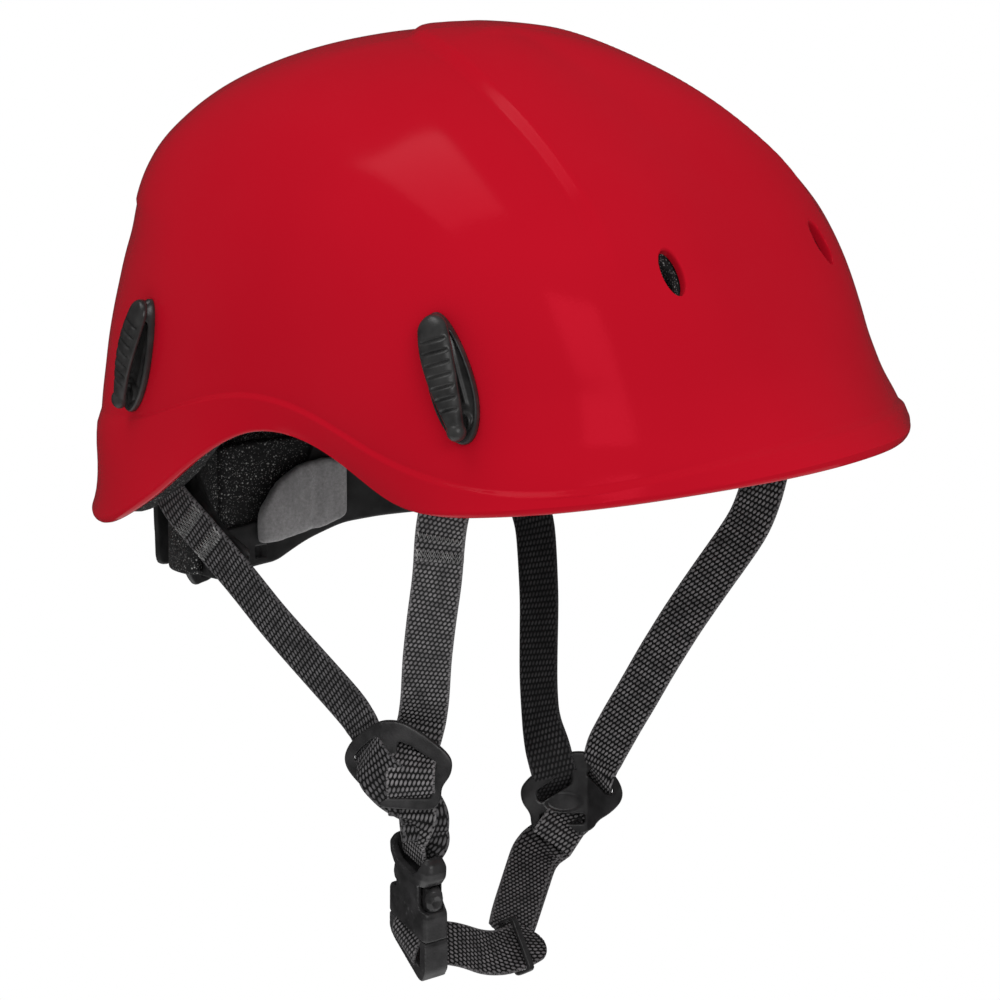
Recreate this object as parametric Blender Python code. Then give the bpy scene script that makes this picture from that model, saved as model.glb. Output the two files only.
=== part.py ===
"""Climbing helmet: hard shell, foam liner, headband, nape cradle, lamp clips and buckled chin straps.

Frame: +X forward, +Y to the wearer's left, +Z up. The crown's top lies on the Z axis, and z = 0 is
the level of the shell's front rim. Numbers below are millimetres; add_object() converts to metres.
Angles round the helmet start at the front (+X) and turn towards the wearer's left (+Y).
"""
import math

import bmesh
import bpy
import numpy as np
from mathutils import Vector

MM = 0.001

# Shell: half-lengths forward and back of the polar axis, half-width, and height of the crown.
FRONT_LENGTH = 105
REAR_LENGTH = 165
HALF_WIDTH = 98.5
CROWN_HEIGHT = 123
POLAR_X = 27
PLAN_POWER = 2.33
WALL = 3
# Stations every 30 degrees from the front round to the back.
RIM_HEIGHT = [3, -2, -7.5, -12, 1, -43.5, -42.5]
RIM_FLARE = [19, 7, 9.5, -8.5, -3, 7, 10]
RIM_BAND_HEIGHT = [8, 8, 7, 16.5, 14, 37, 33]
LINER_EDGE = [16, 15, 14, 14, 9, 5, 5]
FLARE_DEPTH = 14
RIM_BAND_PROUD = 1.2
REAR_LEAN = [(-50, 1.0), (-36, 3.6), (-20, 6.3), (-4, 5.4), (14, 3.1), (34, -0.3), (52, -2.3), (66, -0.4), (82, 1.5),
             (100, 0.6), (112, -1.4), (124, -3)]
FRONT_LEAN = [(-10, 1.5), (4, 1.5), (14, -1.2), (26, -2.2), (38, -1.2), (52, 0.4), (66, 1.8), (80, 1.4), (92, 0),
              (100, -1.2), (112, -4), (124, -5)]

# Raised field on the crown, open towards the front, bounded in plan by a parabola.
CROWN_FIELD_REAR_X = -31
CROWN_FIELD_SPREAD = 29.3
CROWN_FIELD_PROUD = 2
CROWN_FIELD_EDGE = 7
CROWN_FIELD_FADE = (70, 95)

# Foam liner.
LINER_GAP = 1.3
LINER_THICKNESS = 9.5

# Vents: angle, height, half-length, half-width.
VENTS = [(-25.6, 61), (27.2, 58.5), (-166, 62), (166, 62)]
VENT_HALF_LENGTH = 8
VENT_HALF_WIDTH = 4.8

# Head ring: outer line of the headband and of the foam round the nape.
RING_X = -5
RING_FRONT = 104
RING_REAR = 122
RING_SIDE = 81

# Nape cradle and size adjuster.
CRADLE_OFFSET = 6
CRADLE_THICKNESS = 2
PAD_OFFSET = 8.4
PAD_THICKNESS = 4.5
PLATE_X = -129
PLATE_THICKNESS = 2.6
PLATE_HALF_WIDTH = 30
PLATE_Z = (-75, -47)
KNOB_RADIUS = 11.5
KNOB_Z = -60
KNOB_DEPTH = 8

# Lamp clips: angle round the shell, height, and lean of the clip's long axis.
CLIPS = {"front": (-71, 31, 19), "rear": (-144.4, 17, -19)}
CLIP_HALF_LENGTH = 21
CLIP_GAP = 0.75
CLIP_BASE_THICKNESS = 2.2
CLIP_SLOT = 3.1
TONGUE_THICKNESS = 3

# Webbing.
WEB_WIDTH = 16
WEB_THICKNESS = 1.5

# Strap anchors: centre and outward direction, on the wearer's left.
STRAP_ANCHORS = {
    "front": ((54.5, 87.6, -1), (0.35, 0.94)),
    "rear": ((-75, 73, -19), (-0.5, 0.86)),
}

# Strap dividers: centre, direction that the front faces, roll about that direction.
DIVIDER_HALF_WIDTH = 17.5
DIVIDER_HALF_HEIGHT = 14.5
DIVIDER_THICKNESS = 3.4

# Buckle.
BUCKLE_TOP = Vector((10.3, -52.9, -141))
BUCKLE_AXIS = Vector((-0.145, 0.18, -0.968)).normalized()
BUCKLE_FACE = Vector((-0.374, -0.927, 0))
SOCKET_LENGTH = 30
BUCKLE_HALF_WIDTH = 12
BUCKLE_THICKNESS = 8
BUCKLE_WALL = 1.5
CLEARANCE = 0.4


# ------------------------------------------------------------------ numbers and curves

def smoothstep(value):
    """0 below 0, 1 above 1, and a smooth ramp between."""
    value = np.clip(value, 0.0, 1.0)
    return value * value * (3.0 - 2.0 * value)


def round_curve(stations, theta):
    """Smooth closed curve through seven stations, front to back, mirrored to the other side."""
    knots = np.array(stations + stations[-2:0:-1], float)
    count = len(knots)
    second = np.roll(knots, 1) - 2 * knots + np.roll(knots, -1)
    system = 4 * np.eye(count) + np.roll(np.eye(count), 1, 0) + np.roll(np.eye(count), -1, 0)
    bend = np.linalg.solve(system, 6 * second)
    place = np.mod(theta, 2 * math.pi) * count / (2 * math.pi)
    index = np.floor(place).astype(int) % count
    after = (index + 1) % count
    right = place - np.floor(place)
    left = 1 - right
    value = left * knots[index] + right * knots[after]
    return value + (left**3 - left) * bend[index] / 6 + (right**3 - right) * bend[after] / 6


def soft_table(table, value):
    """Value from a table of (place, value) pairs, with each joint between them rounded."""
    places, values = np.array(table, float).T
    spread = [(-4, 0.15), (-2, 0.2), (0, 0.3), (2, 0.2), (4, 0.15)]
    return sum(share * np.interp(value + shift, places, values) for shift, share in spread)


def smooth_route(points, samples):
    """Catmull-Rom points through a route's own points."""
    knots = [Vector(p) for p in points]
    knots = [2 * knots[0] - knots[1]] + knots + [2 * knots[-1] - knots[-2]]
    found = []
    for i in range(samples):
        place = i * (len(points) - 1) / (samples - 1)
        k = min(int(place), len(points) - 2)
        t = place - k
        a, b, c, d = knots[k:k + 4]
        found.append(0.5 * (2 * b + (c - a) * t + (2 * a - 5 * b + 4 * c - d) * t * t
                            + (3 * b - a - 3 * c + d) * t**3))
    return found


# ------------------------------------------------------------------ the shell's surface

def shell_radius(theta, height, proud=RIM_BAND_PROUD):
    """Distance of the outer surface from the polar axis; proud is how far the rim band stands out."""
    cosine = np.cos(theta)
    half_length = np.where(cosine > 0, FRONT_LENGTH, REAR_LENGTH)
    plan = (np.abs(cosine) / half_length)**PLAN_POWER + (np.abs(np.sin(theta)) / HALF_WIDTH)**PLAN_POWER
    power = 2.54 - 0.60 * cosine - 0.55 * np.cos(2 * theta)
    rise = np.clip(height / CROWN_HEIGHT, 0, 1)
    dome = plan**(-1 / PLAN_POWER) * np.sqrt(1 - rise**power)
    above_rim = np.maximum(height - round_curve(RIM_HEIGHT, theta), 0)
    flare = round_curve(RIM_FLARE, theta) * np.exp(-above_rim / FLARE_DEPTH)
    band = round_curve(RIM_BAND_HEIGHT, theta)
    bead = proud * smoothstep((band - above_rim) / 2.5)
    aside = np.abs(np.mod(theta + math.pi, 2 * math.pi) - math.pi)
    rear = smoothstep((aside - 2.4) / 0.36) * soft_table(REAR_LEAN, height)
    front = (1 - smoothstep((aside - 0.9) / 0.6)) * soft_table(FRONT_LEAN, height)
    return dome + flare + bead + (rear + front) * np.clip(dome / 16, 0, 1)


def shell_point(theta, height, proud=RIM_BAND_PROUD):
    """Point of the shell's outer surface, before the raised crown field."""
    rise = np.clip(height / CROWN_HEIGHT, 0, 1)
    radius = shell_radius(theta, height, proud)
    across = POLAR_X * (1 - rise**2)
    return np.stack([across + radius * np.cos(theta), radius * np.sin(theta), height + 0 * theta], -1)


def shell_normal(theta, height):
    """Outward unit normal of the outer surface, without the rim band."""
    step = 0.02
    along = shell_point(theta + step, height, 0) - shell_point(theta - step, height, 0)
    lower = np.maximum(height - 1.0, round_curve(RIM_HEIGHT, theta))
    rise = shell_point(theta, np.minimum(height + 1.0, CROWN_HEIGHT), 0) - shell_point(theta, lower, 0)
    normal = np.cross(along, rise)
    return normal / np.linalg.norm(normal, axis=-1, keepdims=True)


def crown_field(points):
    """How far the raised crown field stands proud at each point."""
    x, y, z = points[..., 0], points[..., 1], points[..., 2]
    inside = CROWN_FIELD_SPREAD * (x - CROWN_FIELD_REAR_X) - y**2
    distance = inside / np.sqrt(CROWN_FIELD_SPREAD**2 + 4 * y**2)
    low, high = CROWN_FIELD_FADE
    return CROWN_FIELD_PROUD * smoothstep(distance / CROWN_FIELD_EDGE) * smoothstep((z - low) / (high - low))


def shell_gap(point):
    """Radial distance of a point outside the shell's outer surface."""
    x, y, z = point
    rise = np.clip(z / CROWN_HEIGHT, 0, 1)
    x = x - POLAR_X * (1 - rise**2)
    theta = np.array(math.atan2(y, x))
    return math.hypot(x, y) - float(shell_radius(theta, np.array(float(z))))


# ------------------------------------------------------------------ objects

def material(name, colour, roughness, metallic=0.0):
    """Principled material with one colour."""
    made = bpy.data.materials.new(name)
    made.use_nodes = True
    shader = made.node_tree.nodes["Principled BSDF"]
    shader.inputs["Base Color"].default_value = (*colour, 1)
    shader.inputs["Roughness"].default_value = roughness
    shader.inputs["Metallic"].default_value = metallic
    return made


def add_object(name, points, faces, look, origin=(0, 0, 0), parent=None):
    """Mesh object from points in millimetres; its origin is at the given point."""
    mesh = bpy.data.meshes.new(name)
    start = Vector(origin)
    mesh.from_pydata([(Vector(p) - start) * MM for p in points], [], faces)
    shape = bmesh.new()
    shape.from_mesh(mesh)
    bmesh.ops.remove_doubles(shape, verts=shape.verts, dist=0.000005)
    bmesh.ops.recalc_face_normals(shape, faces=shape.faces)
    shape.to_mesh(mesh)
    shape.free()
    mesh.materials.append(look)
    mesh.shade_smooth()
    mesh.set_sharp_from_angle(angle=math.radians(35))
    made = bpy.data.objects.new(name, mesh)
    made.location = start * MM
    bpy.context.scene.collection.objects.link(made)
    if parent:
        made.parent = parent
    return made


def grid_faces(rows, columns, start, closed):
    """Quads of a grid of points stored row by row."""
    faces = []
    for r in range(rows - 1):
        for c in range(columns if closed else columns - 1):
            a = start + r * columns + c
            b = start + r * columns + (c + 1) % columns
            faces.append((a, b, b + columns, a + columns))
    return faces


def wall_between(outer, inner, closed, top_points=None):
    """Closed solid between two grids; top_points are the poles that close both domes."""
    rows, columns = outer.shape[:2]
    half = rows * columns
    points = list(outer.reshape(-1, 3)) + list(inner.reshape(-1, 3))
    faces = grid_faces(rows, columns, 0, closed) + grid_faces(rows, columns, half, closed)
    last = (rows - 1) * columns
    for c in range(columns if closed else columns - 1):
        d = (c + 1) % columns
        faces.append((c, d, half + d, half + c))
        if top_points is None:
            faces.append((last + c, last + d, half + last + d, half + last + c))
    if not closed:
        for r in range(rows - 1):
            for c in (0, columns - 1):
                a = r * columns + c
                faces.append((a, a + columns, half + a + columns, half + a))
    if top_points is not None:
        for k, top in enumerate(top_points):
            points.append(top)
            pole = len(points) - 1
            ring = k * half + last
            faces += [(ring + c, ring + (c + 1) % columns, pole) for c in range(columns)]
    return points, faces


def cut(target, cutter):
    """Boolean difference that stays on the object; the cutter isn't rendered."""
    cutter.hide_render = True
    cutter.display_type = "WIRE"
    cutter.hide_set(True)
    boolean = target.modifiers.new("cut " + cutter.name, "BOOLEAN")
    boolean.operation = "DIFFERENCE"
    boolean.solver = "EXACT"
    boolean.object = cutter


def soften(target, width):
    """Small bevel on the sharp edges of a moulded piece."""
    bevel = target.modifiers.new("edges", "BEVEL")
    bevel.width = width * MM
    bevel.segments = 2
    bevel.limit_method = "ANGLE"
    bevel.angle_limit = math.radians(50)


def framed(centre, across, up, out):
    """Function that turns local (across, up, out) millimetres into a point."""
    return lambda a, b, c=0.0: Vector(centre) + across * a + up * b + out * c


def plane_frame(centre, face, roll):
    """Local frame of a plate that faces a direction, rolled about it, clockwise as seen from the front."""
    out = face.normalized()
    across = Vector((0, 0, 1)).cross(out).normalized()
    up = out.cross(across)
    turn = math.radians(-roll)
    side = across * math.cos(turn) + up * math.sin(turn)
    return framed(centre, side, out.cross(side), out)


def prism(name, outline, low, high, place, look, origin=(0, 0, 0), parent=None):
    """Outline in the plane of a local frame, extruded from low to high."""
    count = len(outline)
    points = [place(a, b, low) for a, b in outline] + [place(a, b, high) for a, b in outline]
    faces = [tuple(range(count)), tuple(range(2 * count - 1, count - 1, -1))]
    faces += [(i, (i + 1) % count, count + (i + 1) % count, count + i) for i in range(count)]
    return add_object(name, points, faces, look, origin, parent)


def box_outline(left, right, low, high):
    return [(left, low), (right, low), (right, high), (left, high)]


def round_outline(half_width, half_height, count):
    turn = 2 * math.pi / count
    return [(half_width * math.cos(i * turn), half_height * math.sin(i * turn)) for i in range(count)]


# ------------------------------------------------------------------ shell and liner

def anchor_frames():
    """Frame of each strap anchor, by name; up is along the anchor and out is away from the head."""
    frames = {}
    for side, sign in (("right", -1), ("left", 1)):
        for where, (centre, face) in STRAP_ANCHORS.items():
            centre = Vector((centre[0], sign * centre[1], centre[2]))
            frames[where + "_" + side] = plane_frame(centre, Vector((face[0], sign * face[1], 0)), 0)
    return frames


def dome_rows(theta, first_height, rows, top):
    """Heights from an edge to near the crown, closer together near the top."""
    return [first_height + (CROWN_HEIGHT - first_height) * math.sin(top * r / (rows - 1) * math.pi / 2)
            for r in range(rows)]


def dome_surface(theta, heights, depth):
    """Grid of points at a depth inside the outer surface; only the surface itself has the rim band."""
    grid = []
    for height in heights:
        points = shell_point(theta, height, 0 if depth else RIM_BAND_PROUD)
        normal = shell_normal(theta, height)
        proud = crown_field(points)[..., None]
        grid.append(points + normal * (proud - depth))
    return np.array(grid)


def crown_point(depth):
    return (0, 0, CROWN_HEIGHT + CROWN_FIELD_PROUD - depth)


def vent_cutter(name, angle, height, look):
    """Oval bar through the shell and the liner along the surface's normal."""
    theta = np.array(math.radians(angle))
    centre = Vector(shell_point(theta, np.array(float(height))))
    out = Vector(shell_normal(theta, np.array(float(height))))
    across = Vector((0, 0, 1)).cross(out).normalized()
    place = framed(centre, across, out.cross(across), out)
    return prism(name, round_outline(VENT_HALF_WIDTH, VENT_HALF_LENGTH, 16), -32, 12, place, look)


def build_shell_and_liner(looks):
    theta = np.linspace(0, 2 * math.pi, 60, endpoint=False)
    rim = round_curve(RIM_HEIGHT, theta)
    band = round_curve(RIM_BAND_HEIGHT, theta)
    low_rows = [rim + f * band for f in (0, 0.45, 0.88)]
    start = rim + 1.12 * band
    heights = low_rows + dome_rows(theta, start, 11, 0.94)
    outer = dome_surface(theta, heights, 0)
    inner = dome_surface(theta, heights, WALL)
    shell = add_object("shell", *wall_between(outer, inner, True, (crown_point(0), crown_point(WALL))),
                       looks["shell"])
    edge = rim + round_curve(LINER_EDGE, theta)
    liner_heights = dome_rows(theta, edge, 12, 0.94)
    near = WALL + LINER_GAP
    far = near + LINER_THICKNESS
    outer = dome_surface(theta, liner_heights, near)
    inner = dome_surface(theta, liner_heights, far)
    liner = add_object("foam_liner", *wall_between(outer, inner, True, (crown_point(near), crown_point(far))),
                       looks["foam"])
    for i, (angle, height) in enumerate(VENTS):
        cutter = vent_cutter("vent_cutter_%d" % i, angle, height, looks["foam"])
        cut(shell, cutter)
        cut(liner, cutter)
    for name, place in anchor_frames().items():
        pocket = box_outline(-12, 12, -16, 12.5)
        cut(liner, prism("pocket_cutter_" + name, pocket, -3.2, 14, place, looks["foam"]))


# ------------------------------------------------------------------ head ring

def ring_point(theta, offset, height):
    """Point of the head ring, offset inwards from its outer line."""
    cosine = np.cos(theta)
    half_length = np.where(cosine > 0, RING_FRONT, RING_REAR) - offset
    return np.stack([RING_X + half_length * cosine, (RING_SIDE - offset) * np.sin(theta), height], -1)


def ring_piece(name, look, angles, offset, thickness, low, high, parent=None):
    """Strip that follows the head ring; low and high are its edges' heights at its angles."""
    theta = np.radians(np.linspace(angles[0], angles[1], angles[2]))
    stations = np.linspace(0, 1, len(low))
    part = np.linspace(0, 1, len(theta))
    bottom = np.interp(part, stations, low)
    top = np.interp(part, stations, high)
    heights = [bottom, (bottom + top) / 2, top]
    outer = np.array([ring_point(theta, offset, h) for h in heights])
    inner = np.array([ring_point(theta, offset + thickness, h) for h in heights])
    return add_object(name, *wall_between(outer, inner, False), look, parent=parent)


def build_head_ring(looks):
    """Headband with its brow pad, and the crown pad under the liner."""
    ring_piece("headband", looks["band"], (-120, 120, 49), 1, 1.8, [0, 0, 2, 0, 0], [14, 17, 20, 17, 14])
    ring_piece("brow_pad", looks["felt"], (-58, 58, 21), 3.2, 5, [1, 0, 0, 0, 1], [19, 21, 21, 21, 19])
    theta = np.linspace(0, 2 * math.pi, 32, endpoint=False)
    heights = [CROWN_HEIGHT * part + 0 * theta for part in (0.955, 0.97, 0.985, 0.996)]
    near = WALL + LINER_GAP + LINER_THICKNESS + 2
    far = near + PAD_THICKNESS
    outer = dome_surface(theta, heights, near)
    inner = dome_surface(theta, heights, far)
    add_object("crown_pad", *wall_between(outer, inner, True, (crown_point(near), crown_point(far))),
               looks["felt"])


def build_cradle(looks):
    """Nape cradle that slides fore and aft, with its foam, pads, plate and adjuster knob."""
    slide = bpy.data.objects.new("cradle_slide", None)
    bpy.context.scene.collection.objects.link(slide)
    low = [-10, -34, -60, -66, -75, -77, -77, -77, -75, -66, -60, -34, -10]
    high = [-2, -12, -38, -46, -42, -42, -42, -42, -42, -46, -38, -12, -2]
    cradle = ring_piece("nape_cradle", looks["band"], (120, 240, 37), CRADLE_OFFSET, CRADLE_THICKNESS,
                        low, high, slide)
    for side, sign in (("left", 1), ("right", -1)):
        middle = 180 - 9 * sign
        slot = Vector(ring_point(np.radians(middle), CRADLE_OFFSET + 1, -72.0))
        place = framed(slot, Vector((0, 1, 0)), Vector((0, 0, 1)), Vector((1, 0, 0)))
        cut(cradle, prism("slot_cutter_" + side, box_outline(-2, 2, -2, 2), -6, 6, place, looks["band"]))
        span = (128, 176, 17) if sign > 0 else (184, 232, 17)
        edge = [-55, -59, -63, -67, -68]
        top = [-42, -45, -47, -48, -47]
        ring_piece("nape_foam_" + side, looks["foam"], span, 0.4, 5.2, edge[::sign], top[::sign], slide)
        span = (146, 177, 13) if sign > 0 else (183, 214, 13)
        edge = [-60, -64, -68, -69, -69]
        top = [-43, -40, -40, -40, -44]
        ring_piece("nape_pad_" + side, looks["felt"], span, PAD_OFFSET, PAD_THICKNESS,
                   edge[::sign], top[::sign], slide)
    low_z, high_z = PLATE_Z
    place = framed((PLATE_X, 0, 0), Vector((0, 1, 0)), Vector((0, 0, 1)), Vector((1, 0, 0)))
    outline = [(-PLATE_HALF_WIDTH, low_z + 4), (-PLATE_HALF_WIDTH + 4, low_z), (PLATE_HALF_WIDTH - 4, low_z),
               (PLATE_HALF_WIDTH, low_z + 4), (PLATE_HALF_WIDTH, high_z), (-PLATE_HALF_WIDTH, high_z)]
    prism("adjuster_plate", outline, -PLATE_THICKNESS, 0, place, looks["band"], parent=slide)
    knob_x = PLATE_X - PLATE_THICKNESS - CLEARANCE
    place = framed((knob_x, 0, KNOB_Z), Vector((0, 1, 0)), Vector((0, 0, 1)), Vector((1, 0, 0)))
    knob = prism("adjuster_knob", round_outline(KNOB_RADIUS, KNOB_RADIUS, 24), -KNOB_DEPTH, 0, place,
                 looks["band"], (knob_x, 0, KNOB_Z), slide)
    soften(knob, 1)


# ------------------------------------------------------------------ lamp clips

def clip_frame(angle, height, lean, sign):
    """Centre, across, up and out directions of a lamp clip on the shell."""
    theta = np.array(math.radians(angle) * -sign)
    centre = Vector(shell_point(theta, np.array(float(height))))
    out = Vector(shell_normal(theta, np.array(float(height))))
    forward = Vector((0, 0, 1)).cross(out).normalized() * -sign
    up = forward.cross(out).normalized()
    if up.z < 0:
        up = -up
    tilt = math.radians(lean)
    long_axis = (up * math.cos(tilt) - forward * math.sin(tilt)).normalized()
    across = long_axis.cross(out).normalized()
    return centre, across, long_axis, out


def above_shell(place, a, b, lift):
    """Point over local (a, b), at a distance off the shell's surface."""
    depth = 0.0
    for _ in range(6):
        depth += lift - shell_gap(place(a, b, depth))
    return place(a, b, depth)


def disc_solid(name, place, profile, bottom, top, look, origin=(0, 0, 0)):
    """Closed solid over an oval outline; bottom and top give the point of each face over (a, b)."""
    count = 20
    rings = (0.45, 0.75, 1.0)
    points = []
    for face in (bottom, top):
        for ring in rings:
            for i in range(count):
                a, b = profile(2 * math.pi * i / count)
                points.append(face(a * ring, b * ring))
        points.append(face(0, 0))
    faces = []
    block = len(rings) * count + 1
    rim = block - 1 - count
    for k in (0, block):
        for i in range(count):
            j = (i + 1) % count
            faces.append((k + i, k + j, k + block - 1))
            for ring in range(0, rim, count):
                faces.append((k + ring + i, k + ring + j, k + ring + count + j, k + ring + count + i))
    for i in range(count):
        j = (i + 1) % count
        faces.append((rim + i, rim + j, block + rim + j, block + rim + i))
    return add_object(name, points, faces, look, origin)


def clip_half_width(b):
    """Half-width of the clip's tongue: a wide head at the top, a slim tip at the bottom."""
    return 4.6 + 2.0 * smoothstep((b + 14) / 26)


def build_clip(name, spec, sign, looks):
    """Lamp clip: a base plate on the shell with a hinge block at its top, and a tongue over it."""
    centre, across, up, out = clip_frame(*spec, sign)
    place = framed(centre, across, up, out)
    block_low = CLIP_HALF_LENGTH - 6

    def base_edge(turn):
        return 8 * math.cos(turn), (CLIP_HALF_LENGTH + 1) * math.sin(turn)

    def base_bottom(a, b):
        return above_shell(place, a, b, CLIP_GAP)

    def base_top(a, b):
        landing = math.hypot(a / 8, b / (CLIP_HALF_LENGTH + 1)) < 0.5
        if landing:
            return place(a, b, CLIP_GAP + CLIP_BASE_THICKNESS)
        block = smoothstep((b - block_low) / 3) * (1 - smoothstep((abs(a) - 4.5) / 1.5))
        return above_shell(place, a, b, CLIP_GAP + CLIP_BASE_THICKNESS + (CLIP_SLOT - 0.3) * float(block))

    disc_solid("clip_base_" + name, place, base_edge, base_bottom, base_top, looks["clip"])

    def tongue_edge(turn):
        b = (CLIP_HALF_LENGTH - 0.6) * math.sin(turn)
        return float(clip_half_width(b)) * math.cos(turn), b

    under = CLIP_GAP + CLIP_BASE_THICKNESS + CLIP_SLOT
    hinge = above_shell(place, 0, CLIP_HALF_LENGTH - 0.5, under)
    disc_solid("clip_tongue_" + name, place, tongue_edge, lambda a, b: above_shell(place, a, b, under),
               lambda a, b: above_shell(place, a, b, under + TONGUE_THICKNESS), looks["clip"], hinge)


# ------------------------------------------------------------------ webbing, dividers and buckle

def strap(name, route, facing, samples, look, thickness=WEB_THICKNESS, parent=None):
    """Flat webbing along a route; facing gives the outward direction of its face at both ends."""
    path = smooth_route(route, samples)
    first, last = Vector(facing[0]), Vector(facing[-1])
    points = []
    for i, centre in enumerate(path):
        along = (path[min(i + 1, samples - 1)] - path[max(i - 1, 0)]).normalized()
        face = first.lerp(last, i / (samples - 1))
        across = along.cross(face).normalized() * (WEB_WIDTH / 2)
        out = across.cross(along).normalized() * (thickness / 2)
        points += [centre - across - out, centre + across - out, centre + across + out, centre - across + out]
    faces = [(0, 1, 2, 3), tuple(4 * samples - k for k in (1, 2, 3, 4))]
    for i in range(samples - 1):
        for k in range(4):
            a, b = 4 * i + k, 4 * i + (k + 1) % 4
            faces.append((a, b, b + 4, a + 4))
    return add_object(name, points, faces, look, parent=parent)


DIVIDER_OUTLINE = [(3.5, 14.5), (9.5, 10), (15, 5), (17.5, 1), (17, -4), (12.5, -8.5), (12, -12), (9, -14.5)]
DIVIDER_SIDE_SLOT = [(1.6, 8.6), (12.6, 0.6), (11.4, -3.6), (3.4, 2.6)]
DIVIDER_LOW_SLOT = box_outline(-8.6, 8.6, -10.6, -6.6)

DIVIDER_FRAMES = {
    "right": (Vector((8.9, -62, -110.9)), Vector((0.60, -0.77, 0.20)), 8),
    "left": (Vector((-9.7, 58, -155)), Vector((0.60, -0.77, 0.20)), 5),
}


def build_divider(side, looks):
    """Y-shaped strap divider with two slanted upper slots and one lower slot."""
    place = plane_frame(*DIVIDER_FRAMES[side])
    mirrored = [(-a, b) for a, b in DIVIDER_OUTLINE[::-1]]
    half = DIVIDER_THICKNESS / 2
    plate = prism("divider_" + side, DIVIDER_OUTLINE + mirrored, -half, half, place, looks["buckle"])
    for k, outline in enumerate((DIVIDER_SIDE_SLOT, [(-a, b) for a, b in DIVIDER_SIDE_SLOT[::-1]],
                                 DIVIDER_LOW_SLOT)):
        cut(plate, prism("divider_cutter_%s_%d" % (side, k), outline, -5, 5, place, looks["buckle"]))


def build_straps(looks):
    """Harness webbing from the four anchors to the dividers, and the doubled strap to the socket."""
    outward_right = (0.60, -0.77, 0.20)
    web = looks["web"]
    strap("strap_front_right", [(54, -87.5, -2), (51, -87, -12), (38.9, -78, -46.5), (29.4, -70, -76.4),
                                (23.2, -64.6, -97)], [(0.5, -0.85, 0.1), outward_right], 12, web)
    strap("strap_rear_right", [(-74.5, -72.8, -20), (-70, -74.4, -29), (-49.5, -74, -47.5), (-31.5, -68, -74),
                               (-8.6, -62.8, -103)], [(0.3, -0.93, 0.2), outward_right], 12, web)
    strap("strap_front_left", [(54, 87.5, -2), (58, 84.5, -28), (41.1, 77, -65), (24.4, 70, -94.9),
                               (6, 62.2, -129.5)], [(0.25, -0.96, 0), (0.45, -0.87, 0.1)], 12, web)
    strap("strap_rear_left", [(-74.5, 72.8, -20), (-70.5, 75, -30), (-43, 79.5, -64), (-36.5, 73.5, -94),
                              (-23, 62.6, -138)], [(0.4, -0.9, 0.1), (0.45, -0.87, 0.1)], 12, web)
    strap("strap_doubled_right", [(14.2, -59.8, -128.5), (12.5, -57.5, -134), (11.3, -55.2, -138.6)],
          [outward_right, (0.2, -0.97, 0)], 5, web, 4)


def build_anchors(looks):
    """Moulded hook plates inside the rim, which hold the webbing's sewn loops."""
    for name, place in anchor_frames().items():
        outline = box_outline(-10, 10, 2.4, 11)
        soften(prism("strap_anchor_" + name, outline, -1.2, 1.2, place, looks["band"]), 0.5)


def buckle_frame():
    across = BUCKLE_FACE.cross(BUCKLE_AXIS).normalized()
    out = BUCKLE_AXIS.cross(across).normalized()
    if out.dot(BUCKLE_FACE) < 0:
        out = -out
    return framed(BUCKLE_TOP, across, BUCKLE_AXIS, out)


def build_socket(looks):
    """Socket of the side-release buckle: a flat case, open at the bottom, with a window each side."""
    place = buckle_frame()
    half = BUCKLE_THICKNESS / 2
    right = [(12, 0), (12, 5), (9.6, 9.5), (9.6, 16), (12, 19), (12, SOCKET_LENGTH)]
    outline = right + [(-a, b) for a, b in right[::-1]]
    socket = prism("buckle_socket", outline, -half, half, place, looks["buckle"])
    inner = BUCKLE_HALF_WIDTH - BUCKLE_WALL
    mouth = inner - 1.3
    cavity = [(-inner, 9), (inner, 9), (inner, 18.5), (mouth, 18.5), (mouth, SOCKET_LENGTH + 2)]
    cavity += [(-mouth, SOCKET_LENGTH + 2), (-mouth, 18.5), (-inner, 18.5)]
    cuts = {
        "cavity": (cavity, half - BUCKLE_WALL),
        "window": (box_outline(-15, 15, 9.6, 18.5), 2.4),
        "strap_slot": (box_outline(-8.4, 8.4, 2, 6), half + 2),
    }
    for key, (shape, depth) in cuts.items():
        cut(socket, prism("socket_cutter_" + key, shape, -depth, depth, place, looks["buckle"]))


def build_plug(looks):
    """Plug of the buckle with its strap bar, and the two prongs that spring apart in the socket."""
    place = buckle_frame()
    slide = bpy.data.objects.new("plug_slide", None)
    bpy.context.scene.collection.objects.link(slide)
    start = SOCKET_LENGTH + CLEARANCE
    outline = [(-12, start), (-12, start + 16), (-9, start + 19), (9, start + 19), (12, start + 16), (12, start)]
    outline += [(1.6, start), (1.6, 12), (-1.6, 12), (-1.6, start)]
    half = BUCKLE_THICKNESS / 2
    plug = prism("buckle_plug", outline[:6] + outline[6:], -half + 1.9, half - 1.9, place, looks["buckle"],
                 parent=slide)
    cut(plug, prism("plug_cutter", box_outline(-8.6, 8.6, start + 4, start + 14), -6, 6, place, looks["buckle"]))
    for name, sign in (("front", -1), ("rear", 1)):
        shape = [(4.2, start - 0.3), (7.4, start - 0.3), (7.6, 19.5), (10.2, 17.8), (9.8, 12.5), (8, 10.5),
                 (6.2, 12), (5.6, 18)]
        outline = [(sign * a, b) for a, b in shape]
        root = place(sign * 5.8, start - 0.3)
        prism("prong_" + name, outline, -1.9, 1.9, place, looks["buckle"], root, slide)
    return slide


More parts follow.
